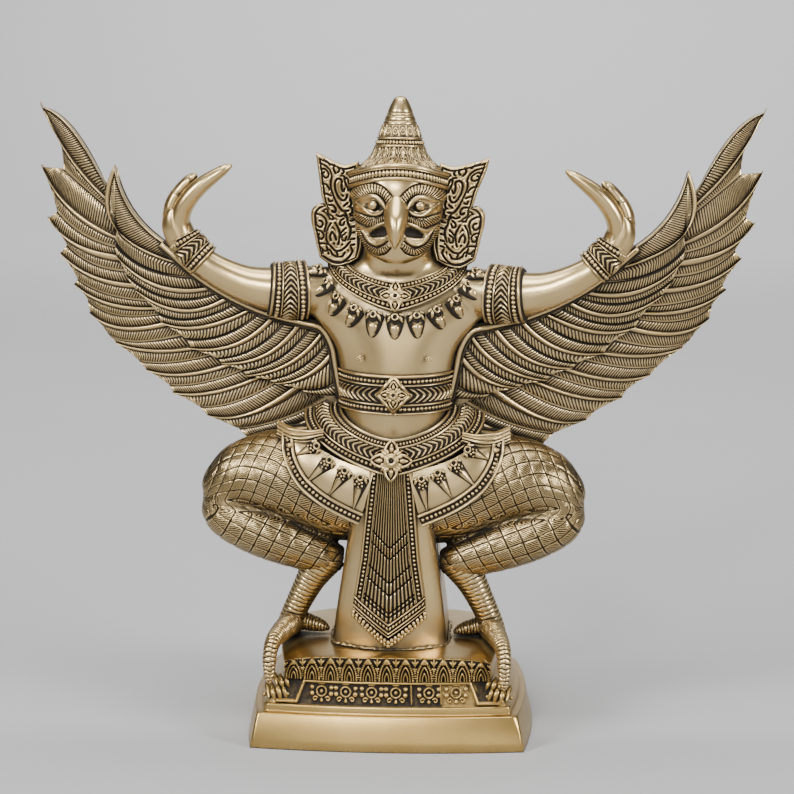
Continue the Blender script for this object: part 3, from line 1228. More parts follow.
def make_band(piece, base, us, vs, rows, length, width, **options):
    """A band of raised rows over a surface. base(u, v) gives points and outward normals"""
    def place(u, v):
        points, normals = base(u, v)
        height, deep = banded((u - 0.5) * length, v, width, rows)
        return points + normals * height[:, None], deep, None
    piece.sheet(us, vs, place, **options)


def surface_normals(points_at, u, v, outward):
    step = 2e-3
    du = points_at(u + step, v) - points_at(u - step, v)
    dv = points_at(u, v + step) - points_at(u, v - step)
    normal = unit(np.cross(du, dv))
    wrong = (normal * outward).sum(1) < 0
    normal[wrong] *= -1
    return normal


def collar_at(u, v):
    turn = (u - 0.5) * 2 * np.pi
    fall = 1 - np.cos(turn)
    inner = np.stack([22.8 * np.sin(turn), -1 - 15.2 * np.cos(turn), 173.7 + 7.7 * fall ** 0.73], 1)
    side = np.minimum(fall, 1.0)
    outer = np.stack([33.0 * np.sin(turn), -1 - 19.2 * np.cos(turn), 160.8 + 20.4 * side ** 0.65], 1)
    v = v[:, None]
    bulge = np.stack([2.2 * np.sin(turn), -2.2 * np.cos(turn), 1.2 + 0 * turn], 1)
    return inner * (1 - v) + outer * v + bulge * v * (1 - v) * 2


def sash_at(u, v):
    turn = (u - 0.5) * np.pi * 1.06
    fall = np.maximum(1 - np.cos(turn), 0)
    inner = np.stack([25.2 * np.sin(turn), -4 - 18.2 * np.cos(turn), 99.5 + 12.8 * fall ** 0.8], 1)
    outer = np.stack([43.6 * np.sin(turn), -8.5 - 24.6 * np.cos(turn), 83.6 + 25 * fall ** 0.68], 1)
    v = v[:, None]
    bulge = np.stack([1.5 * np.sin(turn), -3.2 * np.cos(turn), 1.6 + 0 * turn], 1)
    return inner * (1 - v) + outer * v + bulge * v * (1 - v) * 2


def flower(piece, centre, size, normal=FRONT):
    """Four petals with a drop in each, leaves between them and a ring boss in the middle"""
    centre, normal = np.array(centre, float), unit(np.array(normal, float))
    side = -unit(np.cross(UP, normal))
    rise = -np.cross(side, normal)

    def spot(way, out, raised=0.0, aside=0.0):
        """A place so many sizes out from the centre, above it and beside the way there"""
        return centre + (way * out + normal * raised + np.cross(way, normal) * aside) * size

    def leaf(way, root, tip, raised, half, high, **options):
        piece.bud(spot(way, root, raised), spot(way, tip, raised), size * half, size * high, normal, **options)

    for k in range(8):
        a = k * math.pi / 4
        way = side * math.sin(a) + rise * math.cos(a)
        if k % 2:
            for turn in (-0.35, 0.0, 0.35):
                lean = way * math.cos(turn) + np.cross(way, normal) * math.sin(turn)
                leaf(lean, 0.2, 0.74 - 0.2 * abs(turn), 0.0, 0.11, 0.2, rows=7, belly=0.6)
            continue
        for turn in (-1, 1):
            rim = curve([spot(way, 0.2, 0.08), spot(way, 0.42, 0.08, turn * 0.28), spot(way, 0.74, 0.08, turn * 0.22),
                         spot(way, 1.0, 0.08)], 12)
            piece.tube(rim, np.linspace(0.085, 0.05, 12) * size, rows=14)
        leaf(way, 0.34, 0.86, 0.06, 0.13, 0.16, sides=10, rows=8, belly=0.4)
        leaf(way, 0.15, 0.93, 0.0, 0.27, 0.05, sides=10, rows=8, belly=0.55, deep=0.9)
    for raised, radius, thick in ((0.24, 0.2, 0.085), (0.14, 0.3, 0.06)):
        piece.ring(centre + normal * size * raised, size * radius, size * thick, normal, columns=24, sides=8)
    piece.ball(centre + normal * size * 0.12, size * 0.17, deep=0.95)


def pendant(piece, root, tip, normal, wide=3.2, leaf=False):
    """A ring boss over a dark-edged spike with balls at its root, or over a pointed leaf between side leaves"""
    root, tip, normal = np.array(root, float), np.array(tip, float), unit(np.array(normal, float))
    size = np.linalg.norm(tip - root)
    down = (tip - root) / size
    across = unit(np.cross(down, normal))
    sides = np.array([-1.15, -1.1, -0.74, -0.52, -0.05, 0.05, 0.52, 0.74, 1.1, 1.15])
    stand = np.array([-1.8, 0.3, 0.7, 1.0, 2.2, 2.2, 1.0, 0.7, 0.3, -1.8])
    dark = np.array([1, 1, 1, 0.2, 0, 0, 0.2, 1, 1, 1])

    def at(fall, aside, out):
        """A place so many millimetres down from the root, to the side and out"""
        return root + down * fall + across * aside + normal * out

    def place(u, v):
        k = np.rint(u * 9).astype(int)
        narrow = np.sqrt(np.clip(1 - v ** 1.6, 0, 1)) if leaf else (1 - v) ** 0.9 * smooth(-0.1, 0.14, v) ** 0.5
        points = (root + down * (v * size)[:, None] + across * (sides[k] * wide * narrow)[:, None]
                  + normal * (stand[k] * (0.35 + 0.65 * narrow))[:, None])
        return points, np.where(v < 0.36, np.maximum(dark[k], 0.9), dark[k]), None
    piece.sheet(9, 14, place, facing=normal)
    piece.ring(at(0.6, 0, 2.1), 1.4, 0.5, normal, columns=20)
    piece.ball(at(0.6, 0, 1.68), 0.85, columns=8, rows=6, deep=1.0)
    if leaf:
        piece.bud(at(0.3 * size, 0, 0.5), at(size, 0, 0.4), wide * 0.66, 2.1, normal, sides=12, rows=10, belly=0.3)
        for way in (-1, 1):
            piece.bud(at(-0.6, 1.5 * way, 0.9), at(3.4, 4 * way, 0.9), 0.95, 1.1, normal, rows=7)
            piece.bud(at(-1.2, 1.5 * way, 0.9), at(-0.2, 4.4 * way, 0.9), 0.75, 0.9, normal)
            piece.tube([at(1.6, 2 * way, 2.1), at(3.1, 1.2 * way, 2.205), at(4.3, 0, 2.205)], 0.32, sides=6,
                       rows=6, deep=0.95)
        return
    for aside, fall, radius in ((-1.2, 3.0, 0.6), (1.2, 3.0, 0.6), (0, 3.8, 0.62), (-1.7, 4.5, 0.5), (1.7, 4.5, 0.5),
                                (0, 5.4, 0.5)):
        piece.ball(at(fall, aside, 1.785), radius, columns=8, rows=6)
    for way in (-1, 1):
        piece.bud(at(0.2, 1.7 * way, 1.05), at(3.0, 3.7 * way, 1.05), 0.75, 0.8, normal)
        piece.bud(at(0.2, 1.3 * way, 1.05), at(0.4, 3.9 * way, 1.05), 0.55, 0.6, normal)


def torso_front(x, z):
    """The y of the chest's front at a place on the drawing"""
    heights, wide, deep, middle = np.array(TORSO).T
    a, b, y = (np.interp(z, heights, table) for table in (wide, deep, middle))
    shoulder = np.interp(x, [26, 42], [6, 13]) * math.sqrt(max(0, 1 - ((z - 170) / 11.6) ** 2))
    return min(y - b * math.sqrt(max(0.04, 1 - (x / a) ** 2)), -1.5 - shoulder)


def make_collar():
    piece = Piece()
    bead = sizes().bead_width / MM / 2
    rows = [
        ("rail", 0.75, 0.5, 0, 1.5), ("beads", 2.3, bead, 2 * bead + 0.1, 1.55), ("rail", 3.8, 0.4, 0, 1.3),
        ("chevrons", 6.8, 2.5, 2.7, 1.5), ("rail", 9.8, 0.4, 0, 1.3), ("beads", 11.3, bead, 2 * bead + 0.1, 1.55),
        ("rail", 12.9, 0.5, 0, 1.5),
    ]

    def base(u, v):
        turn = (u - 0.5) * 2 * np.pi
        outward = np.stack([np.sin(turn) * 0.5, -np.cos(turn), 0.6 + 0 * turn], 1)
        normals = surface_normals(collar_at, u, v, outward)
        return collar_at(u, v) + normals * 0.9, normals

    make_band(piece, base, in_runs((0.2, 40), (0.8, 520), (1, 40)), 54, rows, 170.0, 13.6, merge=True)
    hanging = ((0, 158.4, 0, 147.6), (9.8, 159.2, 11.0, 148.2), (18.6, 161.8, 22.9, 152.6), (27.2, 166.6, 31.4, 157.4),
               (32.4, 173.2, 39.2, 166.6), (35.4, 179, 42, 177.4))
    for x, z, tip_x, tip_z in hanging:
        for way in ((-1, 1) if x else (1,)):
            y, tip_y = (torso_front(*spot) for spot in ((x, z), (tip_x, tip_z)))
            normal = (way * x / 40, -1, 0.35 + 0.012 * x)
            pendant(piece, (way * x, y - 1.0, z), (way * tip_x, tip_y - 0.7, tip_z), normal, wide=4.0, leaf=True)
    spot, normal = base(np.array([0.5]), np.array([0.52]))
    flower(piece, spot[0] + normal[0] * 1.2, 7.2, normal[0])
    piece.finish("collar", chased(), keep=0.62)


def limb_band(piece, limb, start, end, rows, columns, lines, around):
    """A band of raised rows round a limb"""
    width = limb.length * (end - start)

    def place(u, v):
        turn = u * 2 * np.pi
        height, deep = banded(u * around, v, width, rows, rise=0.9, edge=0.3)
        return limb.at(start + (end - start) * v, turn, height), deep, None
    piece.sheet(columns, lines, place, both=True, merge=True)


def make_bands():
    """Bands on the upper arms and wrists"""
    piece = Piece()
    armband = Limb([
        [43.6, -2, 168.4, 12.2, 12.6], [46, -2.6, 168.3, 12.6, 13.2], [50, -3.4, 168.1, 12.2, 12.8],
        [57.5, -4.8, 168.3, 11.7, 12.4], [61.6, -5.5, 168.6, 11.5, 12.2],
    ])
    rows = [
        ("rail", 0.9, 0.7, 0, 1.2), ("beads", 3.4, 1.0, 2.15, 1.2), ("rail", 5.3, 0.4, 0, 1.0),
        ("chevrons", 8.9, 2.9, 2.7, 1.2), ("rail", 12.5, 0.4, 0, 1.0), ("beads", 14.4, 1.0, 2.15, 1.2),
        ("rail", 16.8, 0.7, 0, 1.2),
    ]
    limb_band(piece, armband, 0, 1, rows, 260, 64, 37 * 2.15)
    bracelet = Limb([
        [90.8, -8.9, 180.6, 7.1, 7.7], [93.5, -9, 183.1, 7, 7.6], [98, -9, 187.4, 6.8, 7.3],
        [101.6, -9, 192.4, 6.5, 6.9], [103.6, -9, 196.4, 6.2, 6.5],
    ])
    rows = [
        ("rail", 0.9, 0.6, 0, 1.1), ("beads", 3.0, 0.95, 2.0, 1.1), ("rail", 4.9, 0.4, 0, 1.0),
        ("chevrons", 8.5, 2.9, 3.0, 1.2), ("rail", 12.1, 0.4, 0, 1.0), ("beads", 14.0, 0.95, 2.0, 1.1),
        ("rail", 16.2, 0.6, 0, 1.1),
    ]
    limb_band(piece, bracelet, 0.07, 0.86, rows, 180, 72, 24 * 2.0)
    piece.finish("bands", chased(), keep=0.49)


def make_belt():
    piece = Piece()
    belt = upright([[112.6, 26.4, 19.6, -3], [118, 26.6, 19.7, -3], [126, 26.6, 19.7, -3], [132.2, 26.9, 20.0, -3]])

    def points_at(u, v):
        dip = -1.2 * np.exp(-((u - 0.5) / 0.16) ** 2)
        points = belt.at(v, u * 2 * np.pi)
        points[:, 2] += dip
        return points

    def base(u, v):
        turn = u * 2 * np.pi
        outward = np.stack([0 * u, np.cos(turn), 0 * u], 1) + (points_at(u, v) * [1, 0, 0]) * 0.03
        return points_at(u, v), unit(outward)
    bead = sizes().bead_width / MM / 2
    rows = [
        ("rail", 0.8, 0.6, 0, 1.4), ("beads", 3.0, bead, 2 * bead + 0.1, 1.3), ("rail", 5.0, 0.45, 0, 1.2),
        ("chevrons", 9.6, 3.2, 3.0, 1.4), ("rail", 14.2, 0.45, 0, 1.2), ("beads", 16.2, bead, 2 * bead + 0.1, 1.3),
        ("rail", 18.6, 0.75, 0, 1.5),
    ]
    make_band(piece, base, in_runs((0.24, 50), (0.76, 330), (1, 50)), 70, rows, 148.0, 19.6, merge=True)
    centre = np.array([0, -24.2, 121.6])
    for k in range(4):
        a = k * math.pi / 2
        way = np.array([math.sin(a) * 7.4, 0, math.cos(a) * 8.6])
        next_way = np.array([math.sin(a + math.pi / 2) * 7.4, 0, math.cos(a + math.pi / 2) * 8.6])
        piece.tube([centre + way, centre + next_way], 0.95, sides=8, rows=6)
        middle = (way + next_way) / 2
        piece.tube([centre + middle * 0.99 + (way - next_way) * 0.36 + FRONT * 0.6,
                    centre + middle * 0.99 - (way - next_way) * 0.36 + FRONT * 0.6], 0.5, sides=6, rows=6)
    part = [[x, z + 121.6] for x, z in ((0, 8.4), (7.2, 0), (0, -8.4), (-7.2, 0))]
    plate(piece, part, -24.2, -20.5, edge=0.5, recess=0.8)
    flower(piece, (0, -24.6, 121.6), 6.6)
    piece.finish("belt", chased(), keep=0.64)


def make_sash():
    piece = Piece()
    bead = sizes().bead_width / MM / 2
    rows = [
        ("rail", 1.0, 0.75, 0, 1.8), ("beads", 3.3, bead, 2 * bead + 0.2, 1.6), ("rail", 5.2, 0.5, 0, 1.5),
        ("chevrons", 9.2, 3.0, 3.2, 1.6), ("rail", 13.2, 0.5, 0, 1.5), ("beads", 15.1, bead, 2 * bead + 0.2, 1.6),
        ("rail", 17.5, 0.75, 0, 1.8),
    ]

    def base(u, v):
        points = sash_at(u, v)
        turn = (u - 0.5) * np.pi
        outward = np.stack([np.sin(turn), -np.cos(turn) - 0.3, 0.5 + 0 * turn], 1)
        return points, surface_normals(sash_at, u, v, outward)
    make_band(piece, base, 430, 66, rows, 124.0, 18.6, facing=(0, -1, 0.4))
    hanging = ((34.6, -28.2, 97.4, 46.0, -27.4, 92.0), (28.4, -31.4, 91.6, 41.0, -31.6, 78.8),
               (21, -33.6, 87.2, 29, -34.2, 74.4), (13.7, -34.6, 84.4, 17.4, -35.4, 68))
    for x, y, z, tip_x, tip_y, tip_z in hanging:
        for way in (-1, 1):
            pendant(piece, (way * x, y, z), (way * tip_x, tip_y, tip_z), (way * 0.25, -1, 0.1), wide=3.7)
    flower(piece, (0, -34.2, 91.8), 9.8, (0, -1, 0.2))
    end = curve([(33, -24.6, 101.6), (40, -26.2, 100.4), (48, -24.0, 100.8), (55.6, -18.6, 102.4)], 60)
    for way in (-1, 1):
        line = end * [way, 1, 1]

        def gathered(u, v):
            creases = np.sin(v * 27 + 2.2 * np.sin(u * 5 + v * 3)) * smooth(0, 0.12, np.minimum(v, 1 - v))
            points = read(line, u) + UP * ((0.5 - v) * (5.6 + 3.4 * u))[:, None]
            points = points + FRONT * (3.0 * np.sin(np.pi * v) ** 0.6 + 0.35 * creases - 2.6)[:, None]
            return points, np.clip(-creases * 0.9 - 0.1, 0, 0.8) + 0.8 * (np.abs(v - 0.5) > 0.49), None
        piece.sheet(60, 40, gathered, facing=FRONT)
        piece.ball((way * 48.8, -26.4, 96.6), 1.3)
    piece.finish("sash", chased(), keep=0.63)


SKIRT_TOP = [
    (47, -17.5, 102), (42, -22.6, 99.6), (35, -27.2, 96), (26, -30.2, 91.5), (17, -31.8, 88.5), (8, -32.8, 87),
]
SKIRT_EDGE = [
    (49.6, -19.5, 102.6), (49.4, -23.4, 95.6), (47.4, -26.6, 88.6), (42, -30, 80.2), (36.2, -31.8, 75.2),
    (30.2, -32.8, 71.2), (22.5, -33.2, 67.2), (14, -33.4, 63.4),
]


def make_skirt():
    """The smooth skirt from the sash down, and its beaded border"""
    cloth = Piece()
    top, edge = curve(SKIRT_TOP, 120), curve(SKIRT_EDGE, 120)

    def hang(u, v):
        fall = np.clip(v, 0, 1)[:, None]
        points = read(top, u) * (1 - fall) + read(edge, u) * fall
        points[:, 1] -= 1.6 * np.sin(np.pi * fall[:, 0])
        return points
    cloth.sheet(60, 24, hang, facing=FRONT, both=True)
    cloth.finish("skirt", satin())

    piece = Piece()
    line = curve(SKIRT_EDGE, 200)
    tangent = unit(np.gradient(line, axis=0))
    out = unit(np.array([0.35, -1, 0.1]) - tangent * (tangent @ np.array([0.35, -1, 0.1]))[:, None])
    across = np.cross(tangent, out)
    length = np.linalg.norm(np.diff(line, axis=0), axis=1).sum()
    width = 7.4
    rows = [("rail", 1.3, 0.8, 0, 1.4), ("beads", 3.7, 0.95, 2.2, 1.3), ("rail", 6.1, 0.85, 0, 1.4)]

    def place(u, v):
        middle, side, front = read(line, u), read(across, u), read(out, u)
        height, deep = banded(u * length, v, width, rows, rise=0.8, edge=0.3, foot=-3.0)
        return middle + side * ((v - 0.5) * width)[:, None] + front * height[:, None], deep, None
    piece.sheet(280, 34, place, facing=FRONT, both=True)
    piece.finish("skirt_border", chased(), keep=0.63)


# Apron

APRON_HALF, APRON_TOP = 17.4, 86.0


def apron_half(z):
    return np.interp(z, [0, 12, 23, 44, 66, 84], [17.6, 17.6, APRON_HALF, 14.2, 12.2, 10.6])


def apron_end(x):
    """How high the apron's lower edge lies, rising from its point to its corners"""
    return 4.6 + 13.6 * (np.abs(x) / APRON_HALF) ** 1.1


def apron_front(x, z):
    """The bowed front of the apron, from the sash down to its point"""
    return -36.2 + 2.4 * smooth(62, 88, z) + 5.0 * (np.abs(x) / APRON_HALF) ** 1.8


def make_apron():
    piece = Piece()

    def place(u, v):
        across = u * 2 - 1
        low = apron_end(across * APRON_HALF)
        z = APRON_TOP - v * (APRON_TOP - low)
        half = apron_half(z)
        x = across * half
        inward = half - np.abs(x)
        height, deep = rows_of_work(z, inward, [("rail", 0.8, 0.7, 0, 1.5), ("beads", 2.6, 0.85, 2.05, 1.4),
                                                ("rail", 4.3, 0.4, 0, 1.2)])
        fall = z - 0.74 * np.abs(x) * APRON_HALF / half
        inner = inward > 4.8
        step = np.abs(((x / (half - 4.8)) * 6.5) % 1 - 0.5)
        ridge = np.maximum(0, 1 - (step / 0.3) ** 2) ** 0.5
        cloth, dark = 1.1 * ridge, 0.85 * (1 - smooth(0.05, 0.6, ridge))
        for line in (44.7, 50.2, 27.2, 33.1, 16.2, 18.4):
            cut = np.minimum(1, 1.6 * np.maximum(0, 1 - ((fall - line) / 0.6) ** 2))
            cloth, dark = cloth - 0.9 * cut, np.maximum(dark, cut)
        hem = fall < 13.6
        rows = rows_of_work(np.abs(x) * 1.25, fall, [("rail", 12.7, 0.6, 0, 1.4), ("beads", 10.6, 0.95, 1.9, 1.3),
                                                      ("rail", 8.6, 0.6, 0, 1.4), ("rail", 6.9, 0.5, 0, 1.2)])
        cloth, dark = np.where(hem, rows[0], cloth), np.where(hem, rows[1], dark)
        height, deep = np.where(inner | hem, cloth, height), np.where(inner | hem, dark, deep)
        rim = np.minimum(inward, np.minimum(z - low, APRON_TOP + 0.5 - z))
        tucked = smooth(0, 0.3, rim)
        height = -2.6 + (height + 2.6) * tucked
        return np.stack([x, apron_front(x, z) - height, z], 1), np.maximum(deep, 1 - tucked), None
    piece.sheet(200, 330, place, facing=FRONT)

    def behind(u, v):
        across = np.clip(u, 0, 1) * 2 - 1
        low = apron_end(across * APRON_HALF)
        z = APRON_TOP - v * (APRON_TOP - low)
        x = across * apron_half(z)
        y = apron_front(x, z) + 1.2
        y = np.where((u < 0) | (u > 1), y + 7.5, y)
        return np.stack([x, y, z], 1)
    piece.sheet(closed_ends(24), 60, behind, facing=FRONT)
    for row, (count, drop_by, size, out) in enumerate(((10, 0.2, 1.15, 0.9), (11, 2.0, 1.35, 0.2))):
        for k in range(count + 1):
            x = 17.0 * k / count
            z = apron_end(x) - drop_by
            for way in ((-1, 1) if k else (1,)):
                piece.ball((way * x, apron_front(x, z) - out, z), (size * 0.8, size * 0.9, size), columns=10, rows=7)

    def under_fringe(u, v):
        x = (u * 2 - 1) * 17.2
        return np.stack([x, apron_front(x, 8) + 0.6, apron_end(x) + 0.8 - 3.6 * v], 1)
    piece.sheet(60, 6, under_fringe, facing=FRONT)
    piece.finish("apron", chased(), keep=0.46)


# Hands

def make_hands():
    piece = Piece()
    long_finger = Limb([
        [102.4, -9.4, 194, 5.2, 6.4], [103.8, -10, 200, 5, 6.4], [102.4, -11.4, 206, 4.7, 6.3],
        [98.6, -12.8, 212.2, 4.4, 6], [93.4, -13.6, 217.6, 4, 5.5], [87, -13.9, 222.4, 3.2, 4.6],
        [81.6, -13.7, 226, 2.2, 3.4], [78.6, -13.4, 227.8, 0.8, 1.4],
    ])
    short_finger = Limb([
        [104.6, -8.4, 193, 5, 5.8], [107.2, -8.2, 199, 4.6, 5.8], [107.9, -8.4, 205.5, 4, 5.5],
        [106, -8.8, 211.4, 3.6, 5], [102.4, -9.2, 216.6, 3.1, 4.4], [98.6, -9.4, 220.6, 2.6, 3.6],
        [95.9, -9.4, 222.8, 1.1, 1.6],
    ])
    palm = Limb([
        [101, -9, 189, 6.6, 7.2], [103.8, -9.2, 193.6, 6.9, 7.2], [105.8, -9.6, 198.6, 6.6, 6.9],
        [106.4, -10, 203, 5.2, 6.2], [105.8, -10.4, 207, 3, 5],
    ])

    def jointed(share, turn):
        """Creases at the finger's two joints"""
        height, deep = np.zeros_like(share), np.zeros_like(share)
        for crease, depth in ((0.36, 0.28), (0.39, 0.22), (0.62, 0.26), (0.65, 0.2)):
            form = np.exp(-((share - crease) / 0.008) ** 2)
            height -= depth * form
            deep = np.maximum(deep, 0.8 * form)
        return height, deep
    piece.limb(long_finger, 90, 28, both=True)
    piece.limb(short_finger, 90, 26, both=True, lift=jointed)
    piece.bud((99.2, -12.6, 219.9), (95.2, -13.0, 223.6), 1.5, 0.9, (-0.2, -1, 0.35), both=True, sides=10, rows=8)
    piece.bud((84.6, -17.2, 225.2), (78.2, -14.2, 228.2), 1.5, 0.8, (0, -1, 0.3), both=True, sides=10, rows=8)
    piece.limb(palm, 30, 28, both=True)
    piece.finish("hands", polished())


# Plinth, with z from the ground. Each tier has its half length and half width, in the middle of its bowed sides

BLOCK_LOW, BLOCK_HIGH = (69.28, 57.12), (65.9, 53.75)
LEDGE = (62.7, 50.55)
PANEL_LOW, PANEL_HIGH = (61.1, 48.95), (52.5, 46.55)
BAND = (53.5, 47.55)
BLOCK_Z, LEDGE_Z, PANEL_Z = 16.5, 20.1, 31.7
SIDE_BOW, CORNER_DROP = 4.6, 3.0
LEAF_COUNT = 11
ROSETTES = (-31.0, -19.5, -7.2, 4.3, 19.9, 32.7)


def leaf_work():
    """One leaf of the band, on a field of x from its middle and z"""
    work = Chasing()
    work.both(curve([(3.5, 32.4), (3.3, 35.8), (2.3, 39.0), (1.1, 41.2), (0.0, 42.6)], 12), 0.62, 1.25)
    work.both([(0.0, 42.0), (0.5, 40.9)], 0.85, 1.3)
    work.both(curve([(2.15, 32.4), (2.0, 34.9), (1.2, 37.5), (0.0, 39.4)], 10), 0.4, 1.1)
    work.both(curve([(1.0, 32.4), (0.85, 34.4), (0.0, 36.4)], 8), 0.4, 1.1)
    work.both([(4.44, 33.4), (4.44, 38.4)], 0.42, 0.9)
    work.both([(4.35, 36.2), (3.75, 38.4)], [0.25, 0.5], 0.9)
    work.both([(4.44, 42.6), (4.44, 40.9), (4.44, 39.4)], [0.3, 0.85, 0.3], 1.1)
    work.both([(4.3, 39.8), (3.2, 41.6)], [0.25, 0.55], 0.9)
    hatched(work, [(4.0, 33.0), (3.8, 36.0), (2.9, 39.0), (1.9, 41.0)], 0.5, 0.5, 0.95, cut_half=0.22)
    return work


def panel_work():
    """Rosettes and dots between slanting rails, and a paw at each end"""
    work = Chasing()
    for x in ROSETTES:
        ring = [(x + 2.3 * math.sin(a), 26.6 + 2.3 * math.cos(a)) for a in np.linspace(0, 2 * math.pi, 17)]
        work.stroke(ring, 0.45, 0.95)
        work.stroke([(x, 26.6)], 0.95, 0.95)
        for way in (-1, 1):
            work.stroke([(x + way * 4.6, 28.2)], 1.15, 0.9)
            work.stroke([(x + way * 4.5, 25.3)], 1.2, 0.9)
            work.stroke(spiral((x + way * 3.0, 22.9), 1.3, 0.4, 150 if way > 0 else 30, -way * 0.9, 10), 0.42, 0.8)
        work.stroke([(x, 22.2), (x, 23.4)], [0.9, 0.3], 0.8)
        work.stroke([(x - 1.2, 30.0), (x + 1.2, 30.0)], 0.5, 0.7)
    for x in (11.8, 25.7):
        work.stroke([(x, 21.6), (x - 0.4, 30.6)], 0.42, 1.1)
    rail = [(55.6, 21.3), (43.0, 21.5), (39.3, 31.0), (0, 31.2)]
    work.both(rail, 0.9, 1.3, power=0.4)
    return work


def corner_front(x, z):
    """The y of the sloping panel's front near a corner, turning back past its edge"""
    below = PANEL_Z - z
    return -42.2 - 0.2 * below + 1.1 * max(0.0, x - 48.2 - 0.73 * below)


def make_plinth():
    piece = Piece()
    leaf, panel = leaf_work(), panel_work()

    def shrunk(tier, by):
        return tier[0] - by, tier[1] - by

    def tapered(low, high, t):
        return tuple(np.array(low) + (np.array(high) - low) * t)
    # Each step up the outline: half sizes, z, and the share of the corners' drop
    steps = [((0, 0), 0, 0), (shrunk(BLOCK_LOW, 0.6), 0, 0), (shrunk(BLOCK_LOW, 0.15), 0.15, 0), (BLOCK_LOW, 0.6, 0)]
    steps += [(tapered(BLOCK_LOW, BLOCK_HIGH, t), BLOCK_Z * t, 0) for t in (0.3, 0.6, 0.95)]
    steps += [(shrunk(BLOCK_HIGH, 0.2), BLOCK_Z - 0.2, 0), (shrunk(BLOCK_HIGH, 0.8), BLOCK_Z, 0),
              (shrunk(LEDGE, -0.6), BLOCK_Z, 0), (shrunk(LEDGE, -0.1), BLOCK_Z + 0.2, 0), (LEDGE, BLOCK_Z + 0.7, 0),
              (LEDGE, LEDGE_Z - 0.7, 0), (shrunk(LEDGE, 0.2), LEDGE_Z - 0.2, 0), (shrunk(LEDGE, 0.7), LEDGE_Z, 0)]
    steps += [(tapered(PANEL_LOW, PANEL_HIGH, t), LEDGE_Z + (PANEL_Z - LEDGE_Z) * t, 0) for t in np.linspace(0, 1, 62)]
    steps += [(BAND, PANEL_Z + (PLINTH_TOP - 0.5 - PANEL_Z) * t, t) for t in np.linspace(0.02, 1, 60)]
    steps += [(shrunk(BAND, 0.15), PLINTH_TOP - 0.15, 1), (shrunk(BAND, 0.6), PLINTH_TOP, 1),
              (shrunk(BAND, 5), PLINTH_TOP, 0.5), (shrunk(BAND, 10.6), PLINTH_TOP, 0), ((0, 0), PLINTH_TOP, 0)]
    table = np.array([[half[0], half[1], z, drop] for half, z, drop in steps])
    # Front, right, back and left, with most lines on the carved front
    us = in_runs((0.25, 381), (0.5, 34), (0.75, 42), (1, 34))

    def place(u, v):
        row = table[np.rint(v * (len(table) - 1)).astype(int)]
        side = np.minimum((u * 4).astype(int), 3)
        s = (u * 4 - side) * 2 - 1
        closed = row[:, 0] < 1
        bow = SIDE_BOW * (1 - s * s)
        a, b = row[:, 0] - SIDE_BOW, row[:, 1] - SIDE_BOW
        x = np.choose(side, [s * a, a + bow, -s * a, -a - bow])
        y = np.choose(side, [-b - bow, s * b, b + bow, -s * b])
        z = row[:, 2] - CORNER_DROP * row[:, 3] * s ** 4
        x, y = np.where(closed, 0, x), np.where(closed, 0, y)
        height, deep = np.zeros_like(x), np.zeros_like(x)
        reach = BAND[0] - SIDE_BOW
        pitch = 2 * reach / LEAF_COUNT
        on_front = side == 0
        band = on_front & (row[:, 2] > PANEL_Z + 0.1) & (row[:, 2] < PLINTH_TOP - 0.3)
        band &= np.abs(row[:, 0] - BAND[0]) < 0.01
        local = ((x[band] + reach) % pitch) - pitch / 2
        share = (row[band, 2] - PANEL_Z) / (PLINTH_TOP - PANEL_Z)
        height[band], deep[band] = leaf.at(local, PANEL_Z + 0.3 + share * 11.3)
        sloped = on_front & (row[:, 2] > LEDGE_Z + 0.05) & (row[:, 2] < PANEL_Z - 0.05)
        sloped &= row[:, 0] < PANEL_LOW[0] - 0.01
        height[sloped], deep[sloped] = panel.at(x[sloped], row[sloped, 2])
        plain = sloped & (x > 25.7) & (x < 42)
        deep[plain] *= 0.35
        edge = smooth(0, 0.6, np.minimum(reach + 4.2 - np.abs(x), 3))
        height = np.where(band | sloped, (1.25 * height - 0.5) * edge, height)
        y = y - height
        return np.stack([x, y, z], 1), 0.86 * deep, None
    piece.sheet(us, np.linspace(0, 1, len(table)), place, merge=True)
    claws = ((54.4, 31.8, 27.2, 1.2), (51.6, 32.0, 26.8, 1.25), (48.8, 31.8, 27.2, 1.0), (58.4, 27.2, 21.8, 1.2),
             (55.6, 27.8, 21.2, 1.3), (52.6, 28, 21, 1.2), (49.8, 27.6, 21.4, 1))
    for x, high, low, thick in claws:
        run = ((x, high, 0.7), (x - 0.5, high * 0.8 + low * 0.2, 0),
               (x - 1.3, (high + low) / 2, -0.2), (x - 2.2, low, 0.5))
        claw = [(spot, corner_front(spot, z) - 0.25 + sink, z) for spot, z, sink in run]
        piece.tube(claw, [0.5 * thick, thick, thick, 0.35 * thick], sides=10, rows=14, both=True)
    for x, z in ((58.8, 22.6), (47.4, 24.2)):
        piece.ball((x, corner_front(x, z) - 0.1, z), 1.0, both=True, columns=10, rows=8)
    piece.finish("plinth_casting", plain_plinth(), keep=0.5, node="plinth")


